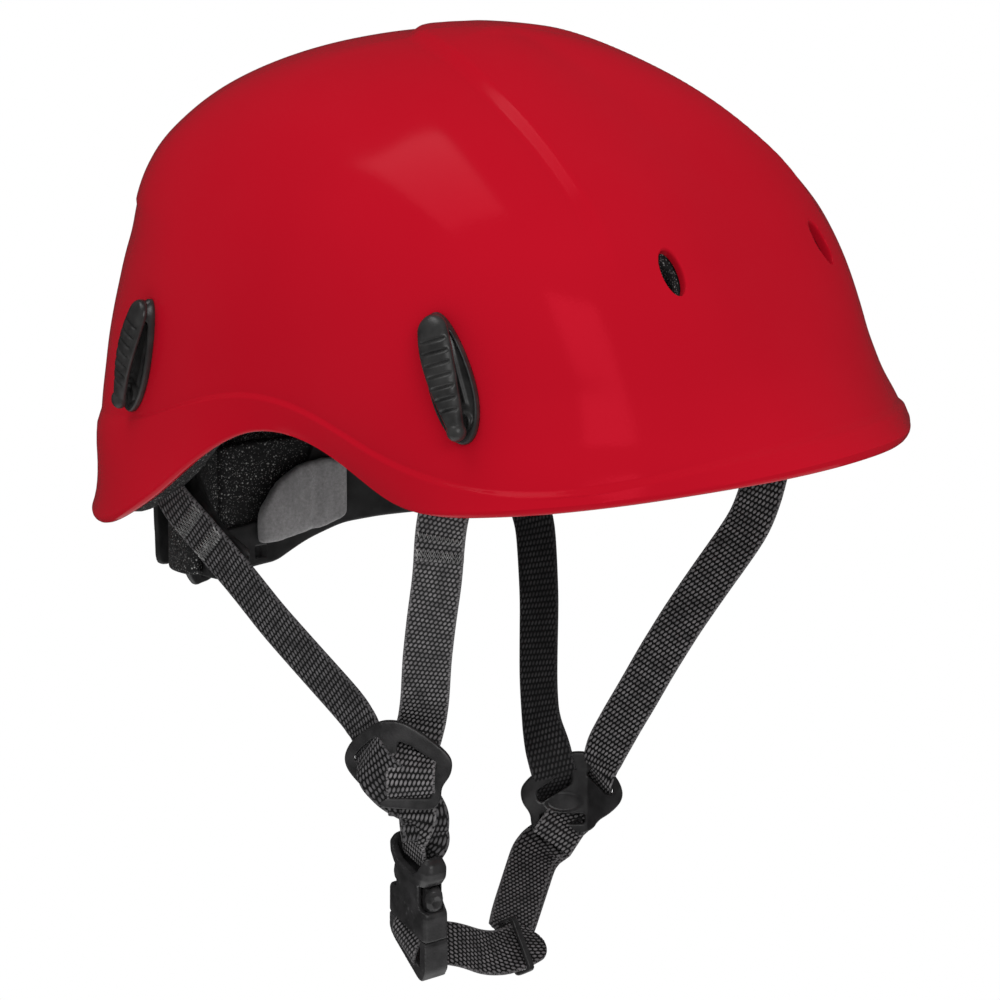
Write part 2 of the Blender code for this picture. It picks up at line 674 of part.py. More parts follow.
def build_chin_strap(slide, looks):
    """Chin webbing: the stretch that moves with the plug, its tail and keeper, and the fixed stretch."""
    web = looks["web"]
    low = (0.25, -0.35, -0.9)
    strap("chin_strap_lower", [(8.5, -35, -187), (11.5, -25, -190), (13, -13, -193), (12.3, -4.4, -193.4)],
          [(0.3, -0.6, -0.7), low], 8, web, 3.2, slide)
    strap("strap_tail", [(12.4, 4.6, -193.4), (13.2, 8, -193.2), (14.2, 12, -192.5)], [low, low], 5, web,
          parent=slide)
    strap("chin_strap_upper", [(8.2, 1.5, -187.5), (4, 9, -186.5), (-1.5, 18, -184.5), (-9, 34, -179.5),
                               (-13.5, 47, -173.5)], [(0.5, -0.6, 0.6), (0.55, -0.75, 0.35)], 10, web, 3.2)
    place = plane_frame(Vector((12.2, -1.4, -193.2)), Vector((-0.2, 0.95, -0.1)), 0)
    keeper = prism("strap_keeper", box_outline(-9.6, 9.6, -3.4, 3.4), -1.1, 1.1, place, looks["buckle"],
                   parent=slide)
    cut(keeper, prism("keeper_cutter", box_outline(-8.7, 8.7, -2.4, 2.4), -3, 3, place, looks["buckle"]))


def main():
    for old in list(bpy.data.objects):
        bpy.data.objects.remove(old)
    looks = {
        "shell": material("red_abs", (0.45, 0.008, 0.014), 0.2),
        "foam": material("black_foam", (0.02, 0.02, 0.02), 0.9),
        "felt": material("grey_felt", (0.10, 0.10, 0.10), 0.95),
        "band": material("black_plastic", (0.02, 0.02, 0.021), 0.5),
        "clip": material("clip_plastic", (0.045, 0.045, 0.045), 0.4),
        "buckle": material("buckle_plastic", (0.03, 0.03, 0.032), 0.4),
        "web": material("black_webbing", (0.03, 0.03, 0.032), 0.85),
    }
    build_shell_and_liner(looks)
    build_head_ring(looks)
    build_cradle(looks)
    for where, spec in CLIPS.items():
        for side, sign in (("right", 1), ("left", -1)):
            build_clip(where + "_" + side, spec, -sign, looks)
    for side in ("right", "left"):
        build_divider(side, looks)
    build_anchors(looks)
    build_straps(looks)
    build_socket(looks)
    slide = build_plug(looks)
    build_chin_strap(slide, looks)


main()
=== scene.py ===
"""Climbing helmet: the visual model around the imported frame.

Shapes are built in millimetres and turned into metres as their mesh is made. +X is the front, +Y the
wearer's left, +Z up. Angles round the helmet start at the front and turn towards the wearer's left.
"""
import math

import bmesh
import bpy
import numpy as np
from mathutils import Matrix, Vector


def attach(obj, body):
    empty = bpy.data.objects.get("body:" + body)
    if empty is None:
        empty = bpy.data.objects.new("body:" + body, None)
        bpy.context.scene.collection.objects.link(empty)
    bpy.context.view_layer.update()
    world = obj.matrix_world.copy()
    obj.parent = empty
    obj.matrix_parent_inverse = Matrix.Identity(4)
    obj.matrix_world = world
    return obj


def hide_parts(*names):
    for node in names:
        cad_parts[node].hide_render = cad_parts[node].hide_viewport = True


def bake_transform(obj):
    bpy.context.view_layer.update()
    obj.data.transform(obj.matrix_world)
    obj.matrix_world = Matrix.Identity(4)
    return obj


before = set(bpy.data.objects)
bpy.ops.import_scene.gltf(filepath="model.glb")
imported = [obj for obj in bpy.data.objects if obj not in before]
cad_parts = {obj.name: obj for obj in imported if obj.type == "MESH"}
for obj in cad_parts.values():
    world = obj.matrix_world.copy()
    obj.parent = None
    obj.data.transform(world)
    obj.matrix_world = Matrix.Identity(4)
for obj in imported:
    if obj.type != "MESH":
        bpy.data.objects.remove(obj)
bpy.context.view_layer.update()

MM = 0.001
BODY = "helmet"

# ------------------------------------------------------------------ shell surface, as in the CAD

FRONT_LENGTH, REAR_LENGTH, HALF_WIDTH, CROWN_HEIGHT = 105, 165, 98.5, 123
POLAR_X, PLAN_POWER, WALL, FLARE_DEPTH = 27, 2.33, 3, 14
RIM_HEIGHT = [3, -2, -7.5, -12, 1, -43.5, -42.5]
RIM_FLARE = [19, 7, 9.5, -8.5, -3, 7, 10]
RIM_BAND_HEIGHT = [8, 8, 7, 16.5, 14, 37, 33]
LINER_EDGE = [16, 15, 14, 14, 9, 5, 5]
BAND_PROUD, BAND_EDGE, BAND_EDGE_REAR = 1.2, 2.0, 4.5
NAPE_START, NAPE_FADE = 2.35, 0.55
STEP_HEIGHT, STEP_PROUD = 60.5, 0.8
LEAN_FREE_RADIUS = 16
REAR_LEAN = [(-50, 1.0), (-36, 3.6), (-20, 6.3), (-4, 5.4), (14, 3.1), (34, -0.3), (52, -2.3), (66, -0.4),
             (82, 1.5), (100, 0.6), (112, -1.4), (124, -3)]
FRONT_LEAN = [(-10, 1.5), (4, 1.5), (14, -1.2), (26, -2.2), (38, -1.2), (52, 0.4), (66, 1.8), (80, 1.4),
              (92, 0), (100, -1.2), (112, -4), (124, -5)]
FIELD_REAR_X, FIELD_SPREAD, FIELD_PROUD, FIELD_EDGE = -31, 29.3, 2.0, 5
FIELD_FADE = (58, 84)
LINER_GAP, LINER_THICKNESS = 1.3, 9.5
VENTS = [(-25.6, 61), (27.2, 58.5), (-166, 62), (166, 62)]
VENT_HALF_LENGTH, VENT_HALF_WIDTH = 7.8, 4.1
VENT_PROFILE = [(-34, 0), (-1.3, 0), (-0.6, 0.05), (-0.3, 0.15), (-0.1, 0.3), (0.1, 0.6), (3, 3.5)]


def circle(count):
    """Angles evenly round a full turn."""
    return np.linspace(0, 2 * math.pi, count, endpoint=False)


def smoothstep(value):
    value = np.clip(value, 0.0, 1.0)
    return value * value * (3.0 - 2.0 * value)


def round_curve(stations, theta):
    """Smooth closed curve through seven stations, front to back, mirrored to the other side."""
    knots = np.array(stations + stations[-2:0:-1], float)
    count = len(knots)
    second = np.roll(knots, 1) - 2 * knots + np.roll(knots, -1)
    system = 4 * np.eye(count) + np.roll(np.eye(count), 1, 0) + np.roll(np.eye(count), -1, 0)
    bend = np.linalg.solve(system, 6 * second)
    place = np.mod(theta, 2 * math.pi) * count / (2 * math.pi)
    index = np.floor(place).astype(int) % count
    after = (index + 1) % count
    right = place - np.floor(place)
    left = 1 - right
    value = left * knots[index] + right * knots[after]
    return value + (left**3 - left) * bend[index] / 6 + (right**3 - right) * bend[after] / 6


def soft_table(table, value):
    """Value from a table of (place, value) pairs, with each joint between them rounded."""
    places, values = np.array(table, float).T
    spread = [(-4, 0.15), (-2, 0.2), (0, 0.3), (2, 0.2), (4, 0.15)]
    return sum(share * np.interp(value + shift, places, values) for shift, share in spread)


def turned_from(theta, direction=0.0):
    """Signed angle from a direction to theta, between -pi and pi."""
    return np.mod(theta - direction + math.pi, 2 * math.pi) - math.pi


def rear_share(theta):
    """1 at the back of the shell and 0 from the ears forward."""
    return smoothstep((np.abs(turned_from(theta)) - NAPE_START) / NAPE_FADE)


def shell_radius(theta, height, detail=True):
    """Distance of the outer surface from the polar axis."""
    cosine = np.cos(theta)
    half_length = np.where(cosine > 0, FRONT_LENGTH, REAR_LENGTH)
    plan = (np.abs(cosine) / half_length)**PLAN_POWER + (np.abs(np.sin(theta)) / HALF_WIDTH)**PLAN_POWER
    power = 2.54 - 0.60 * cosine - 0.55 * np.cos(2 * theta)
    rise = np.clip(height / CROWN_HEIGHT, 0, 1)
    dome = plan**(-1 / PLAN_POWER) * np.sqrt(1 - rise**power)
    above_rim = np.maximum(height - round_curve(RIM_HEIGHT, theta), 0)
    flare = round_curve(RIM_FLARE, theta) * np.exp(-above_rim / FLARE_DEPTH)
    aside = np.abs(turned_from(theta))
    lean = (smoothstep((aside - 2.4) / 0.36) * soft_table(REAR_LEAN, height)
            + (1 - smoothstep((aside - 0.9) / 0.6)) * soft_table(FRONT_LEAN, height))
    lean = lean * np.clip(dome / LEAN_FREE_RADIUS, 0, 1)
    if not detail:
        return dome + flare + lean
    below_crease = round_curve(RIM_BAND_HEIGHT, theta) - above_rim
    edge = BAND_EDGE + BAND_EDGE_REAR * rear_share(theta)
    band = BAND_PROUD * smoothstep(below_crease / edge)
    step = smoothstep((height - STEP_HEIGHT) / 2.2) * (1 - smoothstep((height - STEP_HEIGHT - 7.5) / 24))
    return dome + flare + lean + band + STEP_PROUD * rear_share(theta) * step


def shell_point(theta, height, detail=True):
    rise = np.clip(height / CROWN_HEIGHT, 0, 1)
    radius = shell_radius(theta, height, detail)
    across = POLAR_X * (1 - rise**2)
    return np.stack([across + radius * np.cos(theta), radius * np.sin(theta), height + 0 * theta], -1)


def shell_normal(theta, height):
    """Outward unit normal of the surface without its rim band."""
    step = 0.02
    along = shell_point(theta + step, height, False) - shell_point(theta - step, height, False)
    lower = np.maximum(height - 1.0, round_curve(RIM_HEIGHT, theta))
    upper = shell_point(theta, np.minimum(height + 1.0, CROWN_HEIGHT), False)
    normal = np.cross(along, upper - shell_point(theta, lower, False))
    return normal / np.linalg.norm(normal, axis=-1, keepdims=True)


def on_shell(degrees, height):
    """One point of the outer surface, and the normal there."""
    theta, height = np.array(math.radians(degrees)), np.array(float(height))
    return shell_point(theta, height), shell_normal(theta, height)


def crown_field(points):
    """How far the raised crown field stands proud at each point."""
    x, y, z = points[..., 0], points[..., 1], points[..., 2]
    inside = FIELD_SPREAD * (x - FIELD_REAR_X) - y**2
    distance = inside / np.sqrt(FIELD_SPREAD**2 + 4 * y**2)
    low, high = FIELD_FADE
    return FIELD_PROUD * smoothstep(distance / FIELD_EDGE) * smoothstep((z - low) / (high - low))


def shell_gap(points):
    """Radial distance of points outside the shell's outer surface."""
    x, y, z = points[..., 0], points[..., 1], points[..., 2]
    rise = np.clip(z / CROWN_HEIGHT, 0, 1)
    x = x - POLAR_X * (1 - rise**2)
    return np.hypot(x, y) - shell_radius(np.arctan2(y, x), z)


# ------------------------------------------------------------------ mesh helpers

def linked(name, data):
    made = bpy.data.objects.new(name, data)
    bpy.context.scene.collection.objects.link(made)
    return made


def make_object(name, points, faces, look, uv=None):
    """Smooth mesh object from points in millimetres; uv holds one pair for each point."""
    mesh = bpy.data.meshes.new(name)
    mesh.from_pydata([tuple(float(c) * MM for c in p) for p in points], [], faces)
    if uv is not None:
        layer = mesh.uv_layers.new(name="weave")
        corner = np.empty(len(mesh.loops), np.int32)
        mesh.loops.foreach_get("vertex_index", corner)
        layer.data.foreach_set("uv", np.asarray(uv, np.float32)[corner].ravel())
    shape = bmesh.new()
    shape.from_mesh(mesh)
    bmesh.ops.recalc_face_normals(shape, faces=shape.faces)
    shape.to_mesh(mesh)
    shape.free()
    mesh.materials.append(look)
    mesh.shade_smooth()
    return linked(name, mesh)


def quads(rows, columns):
    """Faces between each closed row of points and the next."""
    pairs = [(r * columns + c, r * columns + (c + 1) % columns)
             for r in range(rows - 1) for c in range(columns)]
    return [(a, b, b + columns, a + columns) for a, b in pairs]


def stack_rings(rings, name, look, tops=None):
    """Closed solid from rings of points, closed by its two tops, or else by the end rings' middles."""
    tops = tops or (rings[0].mean(0), rings[-1].mean(0))
    columns = len(rings[0])
    points = [p for ring in rings for p in ring]
    faces = quads(len(rings), columns)
    for start, top in ((0, tops[0]), ((len(rings) - 1) * columns, tops[1])):
        points.append(top)
        faces += [(start + c, start + (c + 1) % columns, len(points) - 1) for c in range(columns)]
    return make_object(name, points, faces, look)


def loft(name, sections, look, uv=None):
    """Closed solid through sections of equal point counts, with flat ends."""
    count = len(sections[0])
    points = [p for section in sections for p in section]
    last = len(points) - count
    ends = [tuple(range(count)), tuple(range(last + count - 1, last - 1, -1))]
    return make_object(name, points, ends + quads(len(sections), count), look, uv)


def unit(vectors):
    return vectors / np.linalg.norm(vectors, axis=-1, keepdims=True)


def frame_at(centre, face):
    """Axes (across, up, out) of a plate that faces a direction, and its centre, as arrays."""
    out = unit(np.array(face, float))
    across = unit(np.cross([0, 0, 1], out))
    return np.array(centre, float), across, np.cross(out, across), out


def place(axes, local):
    """Points from local (across, up, out) coordinates."""
    centre, across, up, out = axes
    local = np.asarray(local, float)
    return centre + local[..., :1] * across + local[..., 1:2] * up + local[..., 2:3] * out


def baked(obj):
    """Replaces an object's mesh by what its modifiers make of it."""
    graph = bpy.context.evaluated_depsgraph_get()
    mesh = bpy.data.meshes.new_from_object(obj.evaluated_get(graph))
    obj.modifiers.clear()
    obj.data = mesh
    mesh.shade_smooth()
    return obj


def combine(target, others, operation):
    """Cuts other solids out of the target or joins them to it, and removes them."""
    for other in others:
        boolean = target.modifiers.new(operation, "BOOLEAN")
        boolean.operation, boolean.solver, boolean.object = operation, "EXACT", other
    baked(target)
    for other in others:
        bpy.data.objects.remove(other)
    return target


def carve(target, cutters):
    return combine(target, cutters, "DIFFERENCE")


def join_solids(target, others):
    return combine(target, others, "UNION")


def even_mesh(obj, grain):
    remesh = obj.modifiers.new("even", "REMESH")
    remesh.mode, remesh.voxel_size = "VOXEL", grain * MM


def mould(obj, grain, passes):
    """Rounds every edge as a mould does: an even remesh, then smoothing."""
    even_mesh(obj, grain)
    smooth = obj.modifiers.new("smooth", "SMOOTH")
    smooth.factor, smooth.iterations = 0.5, passes
    return baked(obj)


def fillet(outline, radius, steps=5):
    """Outline with each corner rounded."""
    corners = [np.array(p, float) for p in outline]
    found = []
    for i, corner in enumerate(corners):
        before, after = corners[i - 1] - corner, corners[(i + 1) % len(corners)] - corner
        start = corner + before * min(radius / np.linalg.norm(before), 0.48)
        end = corner + after * min(radius / np.linalg.norm(after), 0.48)
        for t in np.linspace(0, 1, steps):
            found.append((1 - t)**2 * start + 2 * t * (1 - t) * corner + t * t * end)
    return np.array(found)


def box(left, right, low, high):
    return [(left, low), (right, low), (right, high), (left, high)]


def prism(name, axes, outline, low, high, look):
    """Solid of an outline between two depths."""
    layers = [place(axes, np.column_stack([outline, np.full(len(outline), depth)])) for depth in (low, high)]
    return loft(name, layers, LOOKS[look])


# ------------------------------------------------------------------ looks

class Look:
    """A procedural material: each method adds nodes and returns a socket."""

    def __init__(self, name, **settings):
        self.material = bpy.data.materials.new(name)
        self.material.use_nodes = True
        self.tree = self.material.node_tree
        self.shader = self.tree.nodes["Principled BSDF"]
        for key, value in settings.items():
            self.shader.inputs[key.replace("_", " ")].default_value = value
        self.object = self.add("ShaderNodeTexCoord").outputs["Object"]

    def add(self, kind, **settings):
        node = self.tree.nodes.new(kind)
        for key, value in settings.items():
            setattr(node, key, value)
        return node

    def link(self, source, target):
        if isinstance(source, (int, float)):
            target.default_value = source
        elif isinstance(source, tuple):
            target.default_value = (*source, 1) if len(source) == 3 else source
        else:
            self.tree.links.new(source, target)

    def math(self, operation, a, b=0.0, c=0.0):
        node = self.add("ShaderNodeMath", operation=operation)
        for value, socket in zip((a, b, c), node.inputs):
            self.link(value, socket)
        return node.outputs[0]

    def times(self, a, b):
        return self.math("MULTIPLY", a, b)

    def in_cell(self, value):
        """Place within a cell that is one unit long, from -0.5 to 0.5."""
        return self.math("SUBTRACT", self.math("FRACT", value), 0.5)

    def noise(self, scale, detail=3.0, vector=None, rough=0.5):
        node = self.add("ShaderNodeTexNoise")
        self.link(vector or self.object, node.inputs["Vector"])
        node.inputs["Scale"].default_value = scale
        node.inputs["Detail"].default_value = detail
        node.inputs["Roughness"].default_value = rough
        return node.outputs["Fac"]

    def stretch(self, scale):
        """Object coordinates, scaled along each axis."""
        node = self.add("ShaderNodeMapping")
        self.link(self.object, node.inputs["Vector"])
        node.inputs["Scale"].default_value = scale
        return node.outputs["Vector"]

    def cells(self, scale, output="Distance", vector=None):
        node = self.add("ShaderNodeTexVoronoi")
        self.link(vector or self.object, node.inputs["Vector"])
        node.inputs["Scale"].default_value = scale
        return node.outputs[output]

    def span(self, value, low, high, to_low=0.0, to_high=1.0):
        """Linear map that is clamped at both ends."""
        node = self.add("ShaderNodeMapRange")
        for number, socket in zip((value, low, high, to_low, to_high), node.inputs):
            self.link(number, socket)
        return node.outputs[0]

    def blend(self, share, first, second):
        node = self.add("ShaderNodeMix", data_type="RGBA")
        self.link(share, node.inputs[0])
        self.link(first, node.inputs[6])
        self.link(second, node.inputs[7])
        return node.outputs[2]

    def bump(self, height, distance, before=None):
        node = self.add("ShaderNodeBump")
        node.inputs["Distance"].default_value = distance
        self.link(height, node.inputs["Height"])
        if before:
            self.link(before, node.inputs["Normal"])
        return node.outputs["Normal"]

    def done(self, colour, roughness=None, normal=None):
        self.link(colour, self.shader.inputs["Base Color"])
        if roughness is not None:
            self.link(roughness, self.shader.inputs["Roughness"])
        if normal is not None:
            self.link(normal, self.shader.inputs["Normal"])
        return self.material


def shell_look():
    look = Look("gloss_red_shell", Specular_IOR_Level=0.17, Specular_Tint=(1.0, 0.05, 0.10, 1))
    tone = look.span(look.noise(9, 2), 0.35, 0.65)
    colour = look.blend(tone, (0.42, 0.0046, 0.0145), (0.45, 0.0055, 0.0165))
    roughness = look.span(look.noise(60, 3), 0.3, 0.7, 0.12, 0.16)
    peel = look.bump(look.noise(900, 2), 0.00002)
    return look.done(colour, roughness, peel)


def foam_look():
    look = Look("speckled_foam", Specular_IOR_Level=0.25)
    bead = look.cells(620)
    chosen = look.math("GREATER_THAN", look.cells(620, "Color"), 0.38)
    speck = look.times(look.span(bead, 0.24, 0.12), chosen)
    fine = look.times(look.span(look.cells(1350), 0.32, 0.15), 0.6)
    speck = look.math("MAXIMUM", speck, fine)
    speck = look.times(speck, look.span(look.noise(70, 2), 0.32, 0.55, 0.25, 1.0))
    colour = look.blend(speck, (0.016, 0.016, 0.0165), (0.42, 0.42, 0.41))
    normal = look.bump(bead, 0.0005)
    return look.done(colour, 0.85, normal)


def felt_look():
    look = Look("grey_felt", Sheen_Weight=0.3, Sheen_Roughness=0.5, Specular_IOR_Level=0.15)
    nap = look.noise(900, 6, rough=0.7)
    streak = look.noise(140, 4, look.stretch((1, 1, 0.22)))
    colour = look.blend(look.span(nap, 0.3, 0.7), (0.20, 0.195, 0.198), (0.34, 0.332, 0.335))
    # The stretched streaks are fine upright creases: the bump gives them relief, and the darker colour along
    # them is painted crease shade.
    colour = look.blend(look.span(streak, 0.56, 0.72, 0, 0.5), colour, (0.13, 0.128, 0.129))
    normal = look.bump(nap, 0.0003, look.bump(streak, 0.0011))
    return look.done(colour, 0.9, normal)


def plastic_look(name, dark, light, low, high, grain=1500, depth=0.00004):
    look = Look(name, Specular_IOR_Level=0.5)
    tone = look.span(look.noise(160, 4), 0.35, 0.7)
    edge = look.add("ShaderNodeNewGeometry").outputs["Pointiness"]
    # Sharp edges are painted lighter: partly rubbed wear, partly a painted highlight where light catches the
    # rims and the clip tips.
    edge_wear_and_highlight = look.times(look.span(edge, 0.52, 0.60), look.span(look.noise(420, 3), 0.4, 0.62))
    colour = look.blend(look.math("MAXIMUM", look.times(tone, 0.5), edge_wear_and_highlight), dark, light)
    roughness = look.span(look.noise(90, 4), 0.35, 0.65, low, high)
    return look.done(colour, roughness, look.bump(look.noise(grain, 2), depth))


WEB_WIDTH, WEB_THICKNESS = 16, 1.5
WEAVE_ROW, WEAVE_COLUMN, WEAVE_RELIEF, WEAVE_GRID = 2.05, 1.45, 0.17, 0.36
TWILL_STEP, FLOAT_LEAN, FLOAT_HALF = 0.34, 0.42, (0.37, 0.46)
ROWS_BEFORE, COLUMNS_BEFORE = 400.0, 40.0


def webbing_look(name, float_highlight):
    """Woven webbing on a black ground: slanted floats in stepped rows, as weave_height() raises them, each
    with a painted highlight on its top.
    """
    look = Look(name, Sheen_Weight=0.1, Sheen_Roughness=0.4, Specular_IOR_Level=0.3)
    uv = look.add("ShaderNodeUVMap", uv_map="weave").outputs["UV"]
    split = look.add("ShaderNodeSeparateXYZ")
    look.link(uv, split.inputs[0])
    across, along = split.outputs[0], split.outputs[1]
    rows = look.math("ADD", look.math("DIVIDE", along, WEAVE_ROW), ROWS_BEFORE)
    in_row = look.in_cell(rows)
    shift = look.times(look.math("FLOOR", rows), TWILL_STEP)
    columns = look.math("DIVIDE", across, WEAVE_COLUMN)
    columns = look.math("ADD", columns, look.math("ADD", shift, COLUMNS_BEFORE))
    columns = look.math("ADD", columns, look.times(in_row, -FLOAT_LEAN))
    in_column = look.in_cell(columns)
    x = look.math("POWER", look.math("ABSOLUTE", look.math("DIVIDE", in_column, FLOAT_HALF[0] - 0.02)), 2.0)
    y = look.math("POWER", look.math("ABSOLUTE", look.math("DIVIDE", in_row, FLOAT_HALF[1] - 0.03)), 2.0)
    rise = look.math("MAXIMUM", look.math("SUBTRACT", 1.0, look.math("ADD", x, y)), 0.0)
    patch = look.span(look.noise(230, 3), 0.3, 0.7, 0.5, 1.2)
    # The floats' pale colour is a painted highlight on the black yarn, brightest where each float rises.
    shade = look.times(look.math("SQRT", rise), patch)
    # The pale selvage stitches along each edge carry the same painted highlight.
    selvage = look.span(look.math("ABSOLUTE", across), 7.0, 7.3)
    stitch = look.span(look.math("ABSOLUTE", look.in_cell(look.times(rows, 2.0))), 0.1, 0.3)
    selvage = look.times(look.times(selvage, stitch), 0.55)
    shade = look.math("MINIMUM", look.math("MAXIMUM", shade, selvage), 1.0)
    colour = look.blend(shade, (0.0045, 0.0043, 0.0048), float_highlight)
    return look.done(colour, 0.62, look.bump(look.noise(2600, 2), 0.00012))


def floor_look():
    look = Look("pale_floor", Roughness=0.9, Specular_IOR_Level=0.0)
    tone = look.span(look.noise(1.5, 2), 0.3, 0.7)
    return look.done(look.blend(tone, (0.88, 0.88, 0.88), (0.91, 0.91, 0.91)), 0.9)


LOOKS = {
    "shell": shell_look(),
    "foam": foam_look(),
    "felt": felt_look(),
    "band": plastic_look("black_plastic", (0.014, 0.014, 0.0145), (0.045, 0.045, 0.046), 0.42, 0.6),
    "clip": plastic_look("clip_plastic", (0.016, 0.0155, 0.0155), (0.055, 0.054, 0.053), 0.3, 0.5),
    "buckle": plastic_look("buckle_plastic", (0.0165, 0.016, 0.0165), (0.06, 0.058, 0.06), 0.28, 0.44),
    "web": webbing_look("webbing", (0.22, 0.21, 0.215)),
    # web_shaded and web_deep_shaded are the same webbing with darker float highlights, for straps that hang
    # in the helmet's shadow: painted shade.
    "web_shaded": webbing_look("webbing_painted_shade", (0.13, 0.125, 0.13)),
    "web_deep_shaded": webbing_look("webbing_painted_deep_shade", (0.05, 0.048, 0.05)),
    "chin": webbing_look("chin_webbing", (0.17, 0.16, 0.165)),
    "thread": plastic_look("thread", (0.13, 0.13, 0.13), (0.34, 0.34, 0.335), 0.6, 0.8),
}


def stand_for(piece, body, look, *nodes):
    """Puts a piece on its body, in place of the CAD nodes; its look argument is not used."""
    if body:
        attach(piece, body)
    if nodes:
        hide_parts(*nodes)
    return piece


# ------------------------------------------------------------------ shell and liner

LIP_HEIGHT, LAST_RING = 1.5, 0.985
CROWN_TOP = CROWN_HEIGHT + FIELD_PROUD
LINER_NEAR = WALL + LINER_GAP
LINER_FAR = LINER_NEAR + LINER_THICKNESS
LINER_GROOVES, GROOVE_DEPTH, GROOVE_HALF_ANGLE = (-140, -100, -60, -20, 20, 60, 100, 140, 180), 3.2, 0.085


def dome_heights(first, rows):
    """Heights of rings from the first one to just under the crown, closer together near it."""
    shares = [math.sin(LAST_RING * r / (rows - 1) * math.pi / 2) for r in range(rows)]
    return [first + (CROWN_HEIGHT - first) * share for share in shares]


def dome_ring(theta, height, depth, detail=True):
    points = shell_point(theta, height, detail)
    return points + shell_normal(theta, height) * (crown_field(points)[..., None] - depth)


def vent_cutter(angle, height, spread=1.0):
    """Oval bar along the surface's normal, wider at its mouth so that the hole's lip is rounded."""
    axes = frame_at(*on_shell(angle, height))
    turn = circle(48)
    sections = []
    for depth, wider in VENT_PROFILE:
        ring = [(VENT_HALF_WIDTH + wider * spread) * np.cos(turn),
                (VENT_HALF_LENGTH + wider * spread) * np.sin(turn), np.full(48, depth)]
        sections.append(place(axes, np.stack(ring, 1)))
    return loft("vent_cutter", sections, LOOKS["foam"])


def build_shell():
    theta = circle(480)
    rim = round_curve(RIM_HEIGHT, theta)
    band = round_curve(RIM_BAND_HEIGHT, theta)
    outer = [dome_ring(theta, rim + h, 0) for h in np.linspace(LIP_HEIGHT, 4.0, 5)]
    outer += [dome_ring(theta, rim + 4.0 + (band - 6.4) * t, 0) for t in np.linspace(0.12, 1, 9)]
    outer += [dome_ring(theta, rim + band - 2.0 + h, 0) for h in np.linspace(0, 2.4, 9)]
    outer += [dome_ring(theta, h, 0) for h in dome_heights(rim + band + 0.9, 96)]
    lip = []
    for turn in np.linspace(0, math.pi, 7)[1:-1]:
        depth = WALL / 2 * (1 - math.cos(turn))
        ring = dome_ring(theta, rim + LIP_HEIGHT, depth)
        ring[:, 2] -= WALL / 2 * math.sin(turn)
        lip.append(ring)
    inner = [dome_ring(theta, rim + LIP_HEIGHT, WALL, False)]
    inner += [dome_ring(theta, h, WALL, False) for h in dome_heights(rim + 5, 40)]
    tops = (0, 0, CROWN_TOP), (0, 0, CROWN_TOP - WALL)
    shell = stack_rings(outer[::-1] + lip + inner, "outer_shell", LOOKS["shell"], tops)
    carve(shell, [vent_cutter(*vent) for vent in VENTS])
    shell.data.set_sharp_from_angle(angle=math.radians(40))
    return stand_for(shell, BODY, "shell", "shell")


def build_liner():
    theta = circle(240)
    edge = round_curve(RIM_HEIGHT, theta) + round_curve(LINER_EDGE, theta)
    outer = [dome_ring(theta, h, LINER_NEAR, False) for h in dome_heights(edge + 2, 40)]
    lip = []
    for turn in np.linspace(0, math.pi, 7)[1:-1]:
        ring = dome_ring(theta, edge + 2, LINER_NEAR + LINER_THICKNESS / 2 * (1 - math.cos(turn)), False)
        ring[:, 2] -= 2.5 * math.sin(turn)**0.6
        lip.append(ring)
    inner = []
    for height in dome_heights(edge + 2, 60):
        share = smoothstep((height - edge - 14) / 10) * (1 - smoothstep((height - 92) / 10))
        groove = 0
        for angle in LINER_GROOVES:
            off = np.abs(turned_from(theta, math.radians(angle)))
            groove = groove + smoothstep((GROOVE_HALF_ANGLE - off) / 0.03)
        inner.append(dome_ring(theta, height, LINER_FAR, False)
                     + shell_normal(theta, height) * (GROOVE_DEPTH * groove * share)[:, None])
    tops = (0, 0, CROWN_TOP - LINER_NEAR), (0, 0, CROWN_TOP - LINER_FAR)
    liner = stack_rings(outer[::-1] + lip + inner, "foam_shell_liner", LOOKS["foam"], tops)
    carve(liner, [vent_cutter(*vent, 0.2) for vent in VENTS])
    return stand_for(liner, BODY, "foam", "foam_liner")


# ------------------------------------------------------------------ head ring

RING_X, RING_FRONT, RING_REAR, RING_SIDE = -5, 104, 122, 81
CRADLE_OFFSET, CRADLE_THICKNESS, PAD_OFFSET = 6, 2, 8.6
CRADLE_LOW = [-58, -60, -62, -64, -66.5, -72, -79, -80, -78]
CRADLE_HIGH = [-46, -42, -34, -22, -6, -44, -62, -64, -64]
CRADLE_SPAN, CRADLE_SLOTS, SLOT_HEIGHT, SLOT_HALF = (112, 248), (168, 192), -74.5, 2.2
FOAM_SPAN, FOAM_OFFSET, FOAM_THICKNESS = (128, 179.8), 0.6, 5.0
FOAM_LOW, FOAM_HIGH = [-61, -65, -69, -73, -74], [-40, -36, -35, -35, -35]
FELT_SPAN, FELT_THICKNESS = (145.5, 170), 4.0
FELT_LOW, FELT_HIGH = [-63, -67, -69, -71, -71], [-42, -41.5, -43.5, -49, -60]
CROWN_PAD_SHARES = (0.957, 0.965, 0.975, 0.985, 0.993, 0.998)
CROWN_PAD_NEAR, CROWN_PAD_FAR = LINER_FAR + 2.2, LINER_FAR + 5.6
CLOTH_STEPS = 20


def ring_point(theta, offset, height):
    cosine = np.cos(theta)
    half_length = np.where(cosine > 0, RING_FRONT, RING_REAR) - offset
    return np.stack([RING_X + half_length * cosine, (RING_SIDE - offset) * np.sin(theta),
                     height + 0 * theta], -1)


